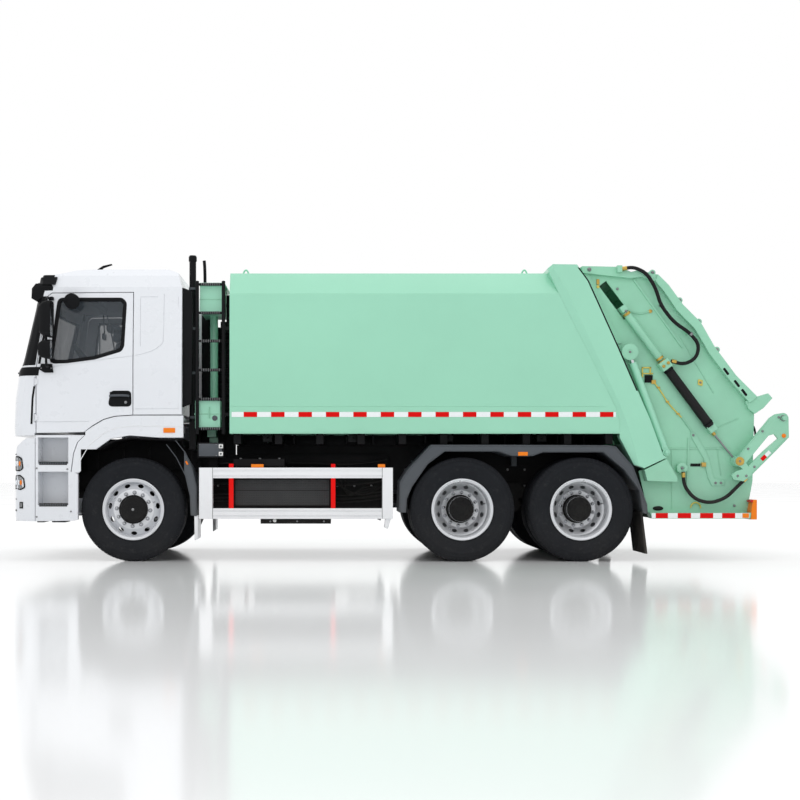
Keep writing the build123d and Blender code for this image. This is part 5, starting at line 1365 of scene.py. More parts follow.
def padded_part(name, outline, y0, y1, seams, across):
    """Stuffed part: remeshed, blown up between stitched seams as cloth, and smoothed once."""
    form = Form()
    form.side_slab(outline, y0, y1, 0.022, 0, 3)
    thing = form.object(name, "seat_cloth")
    mesher = thing.modifiers.new("cells", "REMESH")
    mesher.mode = "VOXEL"
    mesher.voxel_size = PAD_CELL
    mesher.use_smooth_shade = True
    replace_mesh(thing)
    start = [v.co.copy() for v in thing.data.vertices]
    group = thing.vertex_groups.new(name="seam")
    held = []
    for v in thing.data.vertices:
        near = min([abs(v.co.y - s) for s in seams] + [abs(v.co.dot(Vector(d)) - k) for d, k in across] + [1])
        if near < PAD_CELL * 0.62:
            held.append(v.index)
    group.add(held, 1.0, "REPLACE")
    cloth = thing.modifiers.new("fill", "CLOTH")
    cloth.settings.use_pressure = True
    cloth.settings.uniform_pressure_force = 4
    cloth.settings.quality = 4
    cloth.settings.mass = 0.3
    cloth.settings.tension_stiffness = 12
    cloth.settings.compression_stiffness = 12
    cloth.settings.bending_stiffness = 0.6
    cloth.settings.effector_weights.gravity = 0
    cloth.settings.vertex_group_mass = "seam"
    cloth.point_cache.frame_start, cloth.point_cache.frame_end = 1, 20
    scene = bpy.context.scene
    for frame in range(1, 21):
        scene.frame_set(frame)
    replace_mesh(thing)
    scene.frame_set(1)
    for v, old in zip(thing.data.vertices, start):
        move = v.co - old
        if move.length > PAD_CAP:
            v.co = old + move.normalized() * PAD_CAP
    seam_set = set(held)
    for v in thing.data.vertices:
        if v.index in seam_set:
            v.co -= v.normal * 0.005
    thing.vertex_groups.clear()
    smoother = thing.modifiers.new("smooth", "SUBSURF")
    smoother.levels = 1
    replace_mesh(thing)
    return thing


def mirrored(thing, name):
    """Copy of an object across the truck's centre plane."""
    mesh = thing.data.copy()
    for v in mesh.vertices:
        v.co.y = -v.co.y
    mesh.flip_normals()
    return placed(name, mesh)


def make_seats():
    """Two stuffed seats, and their pedestals, shells, levers and belts."""
    parts = [padded_part("cushion", CUSHION, -0.852, -0.368, (-0.76, -0.46), ((REAR, -3.58), (REAR, -3.42))),
        padded_part("backrest", BACKREST, -0.852, -0.368, (-0.76, -0.46), ((UP, 2.17), (UP, 2.33))),
        padded_part("headrest", HEADREST, -0.724, -0.496, (), ((UP, 2.58),))]
    left = merge("seat_left", *parts)
    right = mirrored(left, "seat_right")
    for piece in (left, right):
        fit(piece, "cab", "seat_fabric", "seats")

    def frame(form):
        form.block((-3.7, -0.77, 1.715), (-3.54, -0.45, 1.85), 0.02)
        form.block((-3.72, -0.79, 1.715), (-3.3, -0.43, 1.745), 0.008)
        for k in range(5):
            z = 1.755 + 0.018 * k
            form.block((-3.712, -0.782, z), (-3.53, -0.438, z + 0.01), 0.004, 1)
        form.side_slab([(-3.212, 2.0), (-3.19, 2.0), (-3.118, 2.46), (-3.14, 2.47)], -0.83, -0.39, 0.006)
        for y in (-0.655, -0.565):
            form.rod((-3.202, y, 2.46), (-3.205, y, 2.53), 0.007, 10, 2)
        form.side_slab([(-3.46, 1.84), (-3.42, 1.92), (-3.2, 1.92), (-3.19, 1.84)], -0.885, -0.866, 0.005)
        form.rod((-3.26, -0.866, 1.89), (-3.26, -0.9, 1.89), 0.018, 14, 1, 0.003)
        form.pipe([(-3.28, -1.12, 2.75), (-3.26, -1.0, 2.6), (-3.22, -0.88, 2.3), (-3.22, -0.875, 1.95)], 0.008, 8, 1)
    form = Form()
    frame(form)
    form.mirror()
    fit(form.object("seat_frames", "trim_black dark_grey bare_steel"), "cab", "trim_black", "seats")


# ---- body, chassis and the gear behind the cab ----

def blocks(form, rows, bevel=0.003, mark=0):
    """Several rounded boxes given as (x0, x1, y0, y1, z0, z1)."""
    for x0, x1, y0, y1, z0, z1 in rows:
        form.block((x0, y0, z0), (x1, y1, z1), bevel, mark)


def make_body_trim(form):
    """Left reflective stripe, floor stringer and gussets."""
    blocks(form, [(-1.877, 2.4, -1.2166, -1.2145, 1.61, 1.666)], 0, 1)
    for i in range(14):
        x = -1.743 + 0.305 * i
        blocks(form, [(x, min(x + 0.15, 2.398), -1.2174, -1.215, 1.61, 1.666)], 0)
    blocks(form, [(-1.88, 2.28, -0.462, -0.446, 1.312, 1.424)], 0.002, 2)
    for i in range(14):
        x = -1.8 + 0.3 * i
        form.side_slab([(x, 1.318), (x, 1.42), (x + 0.014, 1.42), (x + 0.014, 1.318)], -0.9, -0.462, 0.002, 2)
    for x in (-1.486, -0.524, 0.55, 1.6):
        blocks(form, [(x - 0.055, x + 0.055, -1.05, -0.9, 1.335, 1.424)], 0.006, 3)
        form.bolt((x, -1.05, 1.38), OUT, 0.012, 3)
    # Thin black strip along the rear post's back edge: the rubber seal, and painted shade of the gap beside it.
    form.side_slab([(2.635, 1.9), (2.427, 2.38), (2.093, 3.12), (1.985, 3.268), (1.968, 3.268), (2.077, 3.12),
        (2.411, 2.38), (2.619, 1.9)], -1.2515, -1.2498, 0, 3)
    blocks(form, [(-1.9, 2.43, -1.216, -1.214, 1.44, 1.4445), (-1.9, 2.3, -1.216, -1.214, 1.725, 1.728)], 0, 4)


def make_body_roof():
    """Ribs, lifting eyes and hatch of the body's roof."""
    form = Form()
    for i in range(6):
        blocks(form, [(-1.62 + 0.56 * i, -1.56 + 0.56 * i, -0.8, 0.8, 3.221, 3.243)], 0.005)
    blocks(form, [(-1.42, -0.98, -0.32, 0.32, 3.221, 3.251), (-1.44, -0.96, -0.34, 0.34, 3.221, 3.233)], 0.008)
    for y in (-0.2, 0.2):
        form.rod((-1.43, y - 0.05, 3.245), (-1.43, y + 0.05, 3.245), 0.013, 14, 1, 0.002)
    form.pipe([(-1.02, -0.06, 3.25), (-1.02, -0.055, 3.275), (-1.02, 0.055, 3.275), (-1.02, 0.06, 3.25)], 0.007, 8, 1)
    for x in (-1.75, 1.45):
        for y in (-0.74, 0.74):
            form.pipe([(x - 0.045, y, 3.222), (x - 0.025, y, 3.318), (x + 0.025, y, 3.318), (x + 0.045, y, 3.222)],
                0.01, 8)
            blocks(form, [(x - 0.1, x + 0.1, y - 0.03, y + 0.03, 3.221, 3.236)], 0.004)
    fit(form.object("body_roof_trim", "body_paint bare_steel"), "chassis", "body_green")


def make_guard_trim(form):
    """Left side guard beads, markers, post ends, strips below and mudguard beads."""
    for z in (0.505, 0.515, 0.56, 0.572, 0.948, 0.958, 1.008, 1.02):
        blocks(form, [(-2.084, -0.204, -1.2428, -1.2395, z, z + 0.0035)], 0.001)
    for x in (-2.088, -0.204):
        blocks(form, [(x, x + 0.004, -1.2425, -1.2395, 0.478, 1.045)], 0.001, 4)
    blocks(form, [(-1.659, -1.52, -1.235, -1.205, 1.046, 1.085), (-0.25, -0.169, -1.235, -1.205, 1.046, 1.085)], 0.006,
        2)
    blocks(form, [(-1.906, -1.855, -1.236, -1.196, 1.046, 1.09), (-0.772, -0.722, -1.236, -1.196, 1.046, 1.088)], 0.004,
        1)
    form.side_slab([(-2.292, 0.515), (-2.25, 0.515), (-2.252, 0.255), (-2.288, 0.235)], -1.225, -0.9, 0.003)
    form.side_slab([(-0.165, 0.48), (-0.105, 0.48), (-0.138, 0.365), (-0.18, 0.382)], -1.225, -1.1, 0.003)
    outer = [(-0.004, 0.56), (0.002, 0.876), (0.09, 1.018), (0.346, 1.288), (1.048, 1.289), (2.306, 1.284),
        (2.388, 1.27), (2.575, 1.055), (2.727, 0.641), (2.737, 0.54)]
    inner = [(0.056, 0.56), (0.066, 0.705), (0.124, 0.84), (0.298, 1.092), (0.49, 1.235), (1.088, 1.235), (1.24, 1.185),
        (1.467, 1.185), (1.582, 1.227), (2.254, 1.227), (2.487, 1.034), (2.661, 0.8), (2.699, 0.56)]
    for line in (outer, inner):
        form.pipe([(x, -1.2455, z) for x, z in line], 0.005, 6, 3, smooth=False)
    blocks(form, [(1.306, 1.415, -1.252, -1.24, 1.178, 1.221)], 0.005, 2)
    form.side_slab([(-2.372, 1.075), (-2.392, 1.115), (-2.374, 1.122), (-2.354, 1.082)], -1.243, -1.23, 0.004, 2)
    for line in ([(-2.5, 1.35), (-2.398, 1.222), (-2.319, 1.04), (-2.273, 0.835), (-2.273, 0.512)],
            [(-2.6, 1.305), (-2.49, 1.16), (-2.388, 0.958), (-2.336, 0.733), (-2.326, 0.522)]):
        form.pipe([(x, -1.237, z) for x, z in line], 0.005, 6, 3, smooth=False)
    for k in range(5):
        y = -1.16 + 0.12 * k
        form.slab([(0, 0), (0.008, 0), (0.008, 0.4), (0, 0.4)], (2.716, y, 0.11), REAR, (-0.11, 0, 0.99), (0, 0.02, 0),
            0, 4)


def make_left_gear():
    """Mesh cover, control box buttons, shields, lines and hoses seen behind the left guard."""
    form = Form()
    blocks(form, [(-1.848, -0.787, -1.124, -1.1205, 0.624, 0.914)], 0, 1)
    blocks(form, [(-1.856, -0.779, -1.1265, -1.118, 0.612, 0.626), (-1.856, -0.779, -1.1265, -1.118, 0.912, 0.926),
        (-1.858, -1.842, -1.1265, -1.118, 0.612, 0.926), (-0.793, -0.777, -1.1265, -1.118, 0.612, 0.926),
        (-1.856, -0.779, -1.1262, -1.118, 0.79, 0.796)], 0.002)
    blocks(form, [(-2.25, -0.08, -0.424, -0.416, 0.54, 0.8), (-2.2, -0.1, -0.5, -0.43, 1.072, 1.2),
        (-2.42, -1.89, -0.425, -0.411, 1.072, 1.62)], 0.002)
    blocks(form, [(-2.245, -1.985, -1.1935, -1.189, 1.172, 1.314)], 0.003, 2)
    blocks(form, [(-2.022, -1.974, -1.2045, -1.19, z - 0.023, z + 0.023) for z in (1.284, 1.2)], 0.006, 3)
    for z in (1.284, 1.2):
        form.knob([(0.011, 0), (0.011, 0.006), (0.007, 0.009)], (-1.998, -1.2045, z), OUT, 16, 2)
    for x, z in ((-2.235, 1.182), (-2.235, 1.304), (-2.05, 1.182), (-2.05, 1.304)):
        form.bolt((x, -1.1935, z), OUT, 0.005, 4)
    for k, z in enumerate((0.66, 0.7, 0.74, 0.86, 1.1)):
        form.pipe([(-2.2, -0.55 - 0.02 * k, z), (-1.2, -0.53 - 0.02 * k, z + 0.01), (-0.5, -0.54, z - 0.03),
            (-0.12, -0.56, z + 0.04)], 0.009 + 0.002 * (k % 2), 8, 5)
    for k in range(4):
        form.pipe([(-0.76 + 0.05 * k, -0.7, 0.9), (-0.62, -0.76 - 0.03 * k, 0.8 - 0.05 * k),
            (-0.36, -0.8, 0.7 + 0.06 * k), (-0.12, -0.72, 0.88 - 0.03 * k)], 0.006, 8, 5)
    blocks(form, [(-1.5, -0.8, -1.154, -1.146, 0.42, 0.474)], 0.002)
    for x in (-1.45, -1.15, -0.85):
        form.bolt((x, -1.154, 0.447), OUT, 0.01, 4)
    form.lathe([(0, 0), (0.02, 0), (0.02, 0.01), (0, 0.012)], (-1.4, -1.154, 0.455), OUT, 20, 3)
    for x in (-1.8, -1.58, -1.36):
        form.lathe([(0, 0), (0.016, 0), (0.016, 0.014), (0, 0.016)], (x, -0.9, 1.143), UP, 16, 4)
    names = "chassis_black sheet_mesh dark_grey button_white bare_steel hose_rubber"
    fit(form.object("left_gear", names), "chassis", "chassis_black")


def make_rear_of_cab():
    """Ladder grips, tank caps and gauges, intake cap and clips, cabinet louvres."""
    form = Form()
    for z in (1.481, 1.81, 2.135, 2.458, 2.772, 3.09):
        form.pipe([(-2.225, -1.19, z), (-2.007, -1.19, z)], 0.0165, 10, 0, smooth=False)
        for k in range(9):
            x = -2.215 + 0.0245 * k
            form.tube(0.016, 0.0185, 0, 0.006, (x, -1.19, z), REAR, 10, 1)
    for x in (-2.262, -1.97):
        form.lathe([(0, 0), (0.021, 0), (0.019, 0.014), (0, 0.02)], (x, -1.19, 3.112), UP, 14)
    blocks(form, [(-2.249, -1.959, -1.13, -0.41, 3.078, 3.12)], 0.014, 2)
    blocks(form, [(-2.3, -2.0, -1.155, -0.555, 1.64, 1.652), (-2.244, -1.986, -1.124, -0.416, 2.925, 2.937)], 0.003, 2)
    form.lathe([(0, 0), (0.06, 0), (0.064, 0.012), (0.064, 0.035), (0.052, 0.045), (0, 0.047)], (-2.15, -0.95, 1.79),
        UP, 24, 3)
    form.lathe([(0, 0), (0.05, 0), (0.054, 0.01), (0.054, 0.03), (0.04, 0.04), (0, 0.042)], (-2.12, -0.8, 3.118), UP,
        24, 3)
    form.pipe([(-2.13, -1.15, 1.72), (-2.13, -1.172, 1.71), (-2.13, -1.172, 1.61), (-2.13, -1.15, 1.6)], 0.006, 8, 2)
    form.lathe([(0, 0), (0.03, 0), (0.03, 0.008), (0, 0.009)], (-2.07, -1.15, 1.6), OUT, 20, 3)
    form.lathe([(0.034, 0), (0.046, 0), (0.046, 0.05), (0.04, 0.056), (0, 0.06), (0, 0.045), (0.034, 0.04)],
        (-2.333, -1.0, 3.376), UP, 24)
    for z in (1.6, 2.1, 2.6, 3.05):
        form.tube(0.037, 0.045, 0, 0.028, (-2.333, -1.0, z), UP, 20, 3)
        form.rod((-2.288, -1.0, z + 0.014), (-2.262, -1.0, z + 0.014), 0.007, 8, 3)
    form.pipe([(-2.205, -0.9, 3.12), (-2.205, -0.9, 3.34), (-2.215, -0.9, 3.4)], 0.018)
    # The first block is a dark sheet that stands in for the shade in the gap between the stack and the cabinet.
    blocks(form, [(-2.296, -2.184, -0.386, -0.376, 1.62, 2.9), (-1.988, -1.884, -0.6, -0.59, 2.62, 3.05),
        (-2.055, -1.986, -0.6, -0.59, 2.62, 2.742)], 0.002)
    for k in range(12):
        z = 1.62 + 0.085 * k
        form.side_slab([(-2.181, z), (-2.195, z + 0.012), (-2.195, z + 0.024), (-2.181, z + 0.05)], -0.3, 1.05, 0.001)
        form.slab([(0, 0), (0.014, -0.02), (0.014, -0.032), (0, -0.05)], (-2.16, -0.381, z + 0.05), OUT, UP,
            (0.18, 0, 0), 0.001)
    for k in range(3):
        form.pipe([(-2.3, -0.5 + 0.12 * k, 1.2), (-2.33, -0.5 + 0.12 * k, 1.42), (-2.24, -0.5 + 0.12 * k, 1.55),
            (-2.2, -0.5 + 0.12 * k, 1.7)], 0.016, 10, 5)
    names = "trim_black bare_steel gate_paint dark_grey mirror_face hose_rubber"
    fit(form.object("rear_of_cab_trim", names), "chassis", "trim_black")


def make_rail_bolts():
    """Rows of bolts along both frame rails and straps of the right tanks."""
    things = []
    for s in (-1, 1):
        for z in (0.835, 1.025):
            form = Form()
            form.bolt((-2.3, s * 0.4305, z), (0, s, 0), 0.012)
            things.append(repeat(form, f"rail_bolts_{s}_{z}", "row", 24, "bare_steel", step=(0.2, 0, 0)))
    form = Form()
    for x in (-1.62, -1.26, -0.9):
        ring = [(0.612, 0.552), (1.123, 0.552), (1.178, 0.616), (1.178, 0.954), (1.124, 1.018), (0.612, 1.018)]
        form.slab(ring, (x - 0.025, 0, 0), (0, 1, 0), UP, (0.05, 0, 0), 0.003)
    form.lathe([(0, 0), (0.06, 0), (0.06, 0.03), (0.05, 0.04), (0, 0.042)], (-1.08, 1.169, 0.87), (0, 1, 0), 28)
    for y in (0.7, 0.98):
        for x in (-0.5, -0.12):
            form.tube(0.129, 0.134, 0, 0.035, (x, y, 0.76), REAR, 36)
    things.append(form.object("tank_straps", "bare_steel"))
    fit(merge("chassis_fixings", *things), "chassis", "chassis_black")


# ---- tailgate ----

SLIDE_LOW = Vector((3.465, 0, 1.511))
SLIDE_DIR = Vector((-505, 0, 679)).normalized()
SLIDE_Y = 1.157
FACE = -1.1
ARM_FACE = -1.25
PIPE_Y = -1.1085
ARM_PIVOT = (3.766, 1.117)
RAM_TOP = (2.555, 2.333)
GATE_FINISHES = ("gate_paint fitting_brass trim_black stripe_red stripe_white pipe_yellow lamp_amber lamp_red "
                 "bare_steel lamp_glass")


def on_slide(d, y=-SLIDE_Y):
    """Point at distance d up the left packer axis."""
    return SLIDE_LOW + SLIDE_DIR * d + Vector((0, y, 0))


def plate(form, outline, thick=0.012, mark=0):
    """Flat plate on the left side plate."""
    form.side_slab(outline, FACE - thick, FACE + 0.001, 0.002, mark)


def beam(form, p, q, width, thick=0.012):
    """Flat bar between two (x, z) points of the left side plate."""
    a, b = Vector(p), Vector(q)
    n = Vector((a.y - b.y, b.x - a.x)).normalized() * width / 2
    plate(form, [tuple(a + n), tuple(b + n), tuple(b - n), tuple(a - n)], thick)


def make_gate_trim(form):
    """Ribs, seams, pipes, fittings, stripe and markers of the left side plate."""
    beam(form, (2.621, 3.16), (3.172, 2.393), 0.024, 0.013)
    beam(form, (3.129, 2.538), (3.52, 1.885), 0.01, 0.007)
    beam(form, (2.998, 1.262), (3.636, 1.262), 0.014, 0.01)
    beam(form, (3.549, 1.494), (3.8, 1.6), 0.008, 0.006)
    beam(form, (3.239, 1.378), (3.218, 0.76), 0.016)
    beam(form, (3.56, 1.262), (3.6, 0.96), 0.01, 0.007)
    beam(form, (3.05, 1.24), (3.05, 0.58), 0.01, 0.007)
    plate(form, [(3.263, 1.445), (3.318, 1.43), (3.46, 1.17), (3.52, 0.93), (3.642, 0.905), (3.642, 0.845),
        (3.5, 0.842), (3.455, 0.93), (3.405, 1.15), (3.27, 1.385)])
    for x, z in ((3.6, 0.875), (3.54, 0.875), (3.29, 1.41), (2.7, 0.6), (3.75, 0.62), (2.44, 3.05), (2.92, 2.86)):
        form.bolt((x, FACE - 0.011, z), OUT, 0.013, 8)
    form.pipe([(2.853, PIPE_Y, 2.001), (2.93, PIPE_Y, 1.9), (2.998, PIPE_Y, 1.784), (3.08, PIPE_Y, 1.69),
        (3.158, PIPE_Y, 1.61)], 0.0075, 8, 5)
    form.pipe([(3.158, PIPE_Y, 1.61), (3.24, PIPE_Y, 1.5), (3.283, PIPE_Y, 1.436)], 0.0065, 8)
    for x, z in ((2.9, 1.945), (3.0, 1.785), (3.12, 1.65)):
        form.block((x - 0.018, FACE - 0.016, z - 0.01), (x + 0.018, FACE, z + 0.01), 0.003, 1)
    for a, b, c, d in ((2.712, 2.728, 2.06, 2.175), (2.712, 2.82, 2.16, 2.175), (2.8, 2.816, 2.09, 2.175),
            (2.712, 2.84, 2.095, 2.108)):
        form.block((a, FACE - 0.014, c), (b, FACE, d), 0.003, 5)
    form.block((2.745, FACE - 0.015, 2.0), (2.835, FACE, 2.085), 0.004, 2)
    form.block((2.82, FACE - 0.0155, 1.985), (2.872, FACE, 2.03), 0.004, 1)
    plate(form, rounded([(3.345, 2.04), (3.398, 2.025), (3.395, 1.96), (3.342, 1.975)], 0.01, 3), 0.01, 5)
    form.bolt((3.37, FACE - 0.01, 2.0), OUT, 0.011, 8)
    form.pipe([(2.6, PIPE_Y, 2.79), (2.68, PIPE_Y, 2.768), (2.76, PIPE_Y, 2.778), (2.81, PIPE_Y, 2.805)], 0.0065, 8)
    form.knob([(0.02, 0), (0.02, 0.012), (0.013, 0.0155)], (2.81, FACE, 2.8), OUT, 20, 1)
    form.block((2.205, FACE - 0.015, 3.098), (2.238, FACE, 3.16), 0.004, 1)
    form.lathe([(0, 0), (0.017, 0), (0.017, 0.012), (0, 0.015)], (2.222, FACE - 0.001, 3.075), OUT, 16, 5)
    form.block((3.378, FACE - 0.03, 1.055), (3.43, FACE, 1.105), 0.005, 1)
    form.block((3.26, FACE - 0.008, 1.06), (3.372, FACE, 1.092), 0.003, 2)
    arc = [(3.317 + 0.055 * math.cos(math.radians(a)), PIPE_Y, 0.6 + 0.055 * math.sin(math.radians(a)))
        for a in range(-10, 200, 15)]
    form.pipe(arc, 0.008, 8, 5, smooth=False)
    form.ball((2.897, FACE - 0.003, 0.59), (0.06, 0.014, 0.026), 2, 20)
    form.block((2.789, ARM_FACE - 0.0022, 0.485), (3.872, ARM_FACE + 0.001, 0.542), 0, 4)
    for x0, x1 in ((2.833, 2.969), (3.077, 3.225), (3.326, 3.471), (3.57, 3.715)):
        form.block((x0, ARM_FACE - 0.0032, 0.485), (x1, ARM_FACE, 0.542), 0, 3)
    form.block((3.796, ARM_FACE - 0.006, 0.488), (3.868, ARM_FACE, 0.539), 0.003, 6)
    form.rod((3.5, -1.135, 1.44), (3.728, -1.135, 1.16), 0.011, 12, 8, 0.002)
    form.lathe([(0, 0), (0.022, 0), (0.022, 0.035), (0, 0.037)], (3.5, -1.135, 1.44), (0.63, 0, -0.775), 6, 1)
    for x, z in ((3.64, 2.12), (3.76, 1.985), (3.842, 1.885)):
        form.slab(rounded([(-0.045, -0.014), (0.045, -0.014), (0.045, 0.014), (-0.045, 0.014)], 0.012, 3),
            (x, -1.1705, z), (0.6, 0, -0.8), (0.8, 0, 0.6), (0, -0.0015, 0), 0, 2)
    form.knob([(0.06, 0), (0.06, 0.006), (0.046, 0.01), (0.026, 0.01), (0.022, 0.004)], (3.151, -1.16, 1.04), OUT)
    form.bolt((3.151, -1.164, 1.04), OUT, 0.014, 8)
    for x, z in ((2.826, 3.228), (3.128, 2.918), (3.344, 2.68), (3.546, 2.366)):
        form.bolt((x, -1.14, z), OUT, 0.017, 8)
    form.bolt((2.116, -1.15, 3.262), OUT, 0.02, 8)
    for (x, z), (dx, dz) in (((2.474, 3.263), (0.985, 0.17)), ((3.027, 2.2355), (0.98, -0.2)),
            ((3.157, 0.99), (0.05, -1)), ((3.862, 0.933), (-0.72, -0.69))):
        axis = Vector((dx, 0, dz)).normalized()
        base = Vector((x, -1.184, z))
        form.tube(0, 0.0245, 0, 0.016, base, axis, 6, 1)
        form.tube(0.0195, 0.0235, 0.016, 0.052, base, axis, 16, 1)
    form.tube(0.0195, 0.0245, -0.013, 0.013, (3.245, -1.184, 2.535), (0.8, 0, -0.58), 16, 8)
    n = Vector((0.802, 0, 0.597))
    for d0, d1, half, y0, y1 in ((0.798, 0.902, 0.0605, -1.0995, -1.213), (-0.072, 0.012, 0.0465, -1.0995, -1.192)):
        form.slab([(d0, -half), (d1, -half), (d1, half), (d0, half)], on_slide(0, y0), SLIDE_DIR, n, (0, y1 - y0, 0),
            0.005)
    for sign in (-1, 1):
        spot = on_slide(0.85, -1.2128) + n * 0.032 * sign
        form.hexagon(spot, OUT, 0.034, 0.014, 1)
        form.lathe([(0, 0), (0.011, 0), (0.011, 0.02), (0, 0.022)], spot, OUT, 14, 1)
    ring = [(0.052, 0), (0.0565, 0.002), (0.0565, 0.022), (0.052, 0.024)]
    for d in (0.03, 0.76):
        form.lathe(ring, on_slide(d), SLIDE_DIR, 32, 2)
    form.lathe([(0.0265, 0.0), (0.05, 0.0), (0.05, 0.01), (0.04, 0.014), (0.0265, 0.014)], on_slide(0.899), SLIDE_DIR,
        28, 1)
    form.block((3.893, -1.243, 0.662), (3.956, -0.962, 0.688), 0.003, 7)
    form.block((3.9565, -1.235, 0.48), (3.9635, -1.15, 0.68), 0.003, 7)
    form.block((3.9565, -1.145, 0.48), (3.9635, -1.06, 0.68), 0.003, 6)
    form.block((3.9565, -1.055, 0.48), (3.9635, -0.97, 0.68), 0.003, 9)
    form.pipe([(3.976, -0.98, 1.22), (4.03, -0.98, 1.24), (4.03, -0.98, 1.52), (3.976, -0.98, 1.54)], 0.012, 10, 2)


def make_shield(form):
    """Tube over the left packer rod and its end fittings; it travels with the carriage."""
    form.lathe([(0.0225, 0.0), (0.04, 0.0), (0.042, 0.003), (0.042, 0.655), (0.04, 0.66), (0.0225, 0.66)],
        on_slide(0.925), SLIDE_DIR)
    form.lathe([(0.0415, 0), (0.0455, 0.002), (0.0455, 0.026), (0.0415, 0.028)], on_slide(0.93), SLIDE_DIR, 32, 1)
    form.lathe([(0.0415, 0), (0.0455, 0.002), (0.0455, 0.03), (0.0415, 0.032)], on_slide(1.545), SLIDE_DIR, 32, 1)
    form.hexagon(on_slide(1.56, -1.198), OUT, 0.03, 0.012, 1)
    form.bolt(on_slide(1.595, -1.2045), OUT, 0.012, 2)


def make_ram_cap(form):
    """Painted cover on the left lift ram's upper eye."""
    form.knob([(0.09, 0), (0.092, 0.002), (0.092, 0.005), (0.086, 0.007), (0.03, 0.007), (0.026, 0.004)],
        (RAM_TOP[0], -1.2235, RAM_TOP[1]), OUT, 40)
    form.bolt((RAM_TOP[0], -1.2275, RAM_TOP[1]), OUT, 0.012, 1)


def make_lifter_trim(form):
    """Reflector, lamp, bushes and bolts on the left lifter arm."""
    u, v = Vector((0.72, 0, 0.69)), Vector((-0.69, 0, 0.72))
    centre = Vector((4.055, ARM_FACE - 0.0005, 1.178))
    for a, b, mark in ((-0.065, 0.0, 3), (0.0, 0.065, 4)):
        form.slab([(a, -0.021), (b, -0.021), (b, 0.021), (a, 0.021)], centre, u, v, (0, -0.002, 0), 0, mark)
    form.lathe([(0, 0), (0.024, 0), (0.022, 0.01), (0.012, 0.015), (0, 0.016)], (4.255, ARM_FACE, 1.4), OUT, 20, 5)
    form.knob([(0.048, 0), (0.048, 0.006), (0.034, 0.009), (0.03, 0.006)],
        (ARM_PIVOT[0], ARM_FACE - 0.006, ARM_PIVOT[1]), OUT, 32, 1)
    form.bolt((ARM_PIVOT[0], ARM_FACE - 0.012, ARM_PIVOT[1]), OUT, 0.012, 2)
    for x, z in ((3.86, 1.255), (4.02, 1.45), (4.2, 1.605), (3.745, 0.955), (3.84, 0.955), (3.93, 1.055)):
        form.bolt((x, ARM_FACE, z), OUT, 0.012, 2)
    ribs = [[(3.765, 1.185), (4.08, 1.57)], [(3.905, 0.985), (4.285, 1.37)]]
    for (ax, az), (bx, bz) in ribs:
        form.rod((ax, ARM_FACE - 0.001, az), (bx, ARM_FACE - 0.001, bz), 0.005, 8)
    form.tube(0.026, 0.034, 0, 0.006, (4.249, -1.25, 1.595), OUT, 28, 2)


def make_gate_back():
    """Hood ribs, work lamps, sill stripe, blank plate and hopper lip of the tailgate's back."""
    form = Form()
    for k in range(12):
        y = -1.02 + 0.17 * k
        form.block((3.974, y, 1.575), (3.9785, y + 0.17, 1.635), 0, 3 if k % 2 else 4)
    form.block((3.92, -1.065, 1.634), (3.984, 1.065, 1.654), 0.006, 2)
    form.block((3.893, -0.27, 0.49), (3.903, 0.27, 0.605), 0.003, 4)
    form.block((3.891, -0.285, 0.478), (3.897, 0.285, 0.617), 0.003, 2)
    for y in (-0.62, 0.62):
        form.block((3.475, y - 0.085, 2.405), (3.56, y + 0.085, 2.475), 0.012, 2)
        form.block((3.558, y - 0.07, 2.415), (3.565, y + 0.07, 2.465), 0.004, 9)
    panel = [(2.892, 3.2), (3.006, 3.09), (3.164, 2.873), (3.36, 2.674), (3.51, 2.408)]
    for y in (-0.9, -0.45, 0.0, 0.45, 0.9):
        ring = panel + [(x - 0.02, z - 0.012) for x, z in panel[::-1]]
        ring = [(x + 0.01, z + 0.006) for x, z in ring]
        form.side_slab(ring, y - 0.02, y + 0.02, 0.002)
    for z in (0.85, 1.4):
        form.block((3.955, -1.0, z), (3.98, 1.0, z + 0.045), 0.005)
    for k in range(5):
        y = -0.8 + 0.4 * k
        form.block((3.95, y - 0.012, 0.86), (3.978, y + 0.012, 1.58), 0.004)
    fit(form.object("gate_back_trim", GATE_FINISHES), "tailgate", "body_green")


# ---- stage ----

CAMERA_AT = (-0.727, -15.45, 1.02)
CAMERA_LENS = 57.56
CAMERA_SHIFT = (0.0813, 0.0875)
STAGE_REACH = 90.0


def make_floor():
    """Pale studio floor that runs out of sight on all sides."""
    form = Form()
    form.tube(0, STAGE_REACH, 0, -0.2, (0, 0, 0), UP, 96)
    tree, shader, place = new_material("studio_floor", Specular_IOR_Level=0.22)
    cloud = noise_node(tree, place, 0.35, 2.0)
    join(tree, mix_colour(tree, cloud, (0.9, 0.91, 0.92, 1), (0.94, 0.945, 0.95, 1)), shader.inputs["Base Color"])
    join(tree, spread_node(tree, cloud, 0.3, 0.7, 0.1, 0.13), shader.inputs["Roughness"])
    form.object("studio_floor", "studio_floor", 60)


def area_light(name, place, aim, size, power):
    """Soft rectangular light aimed at a point."""
    lamp = bpy.data.lights.new(name, "AREA")
    lamp.shape = "RECTANGLE"
    lamp.size, lamp.size_y = size
    lamp.energy = power
    holder = placed(name, lamp)
    holder.location = place
    holder.rotation_euler = (Vector(aim) - Vector(place)).to_track_quat("-Z", "Y").to_euler()


def make_lights(sizes):
    """Pale sky and two large soft lights."""
    world = bpy.data.worlds.new("studio")
    world.use_nodes = True
    sky = world.node_tree.nodes["Background"]
    sky.inputs["Color"].default_value = (1.0, 1.0, 1.0, 1)
    sky.inputs["Strength"].default_value = 1.0
    bpy.context.scene.world = world
    area_light("key", (-6.0, -13.0, 11.0), (0, 0, 1.0), (12, 7), sizes.key_power)
    area_light("top", (1.0, 0.0, 13.0), (0, 0, 0), (14, 8), sizes.top_power)


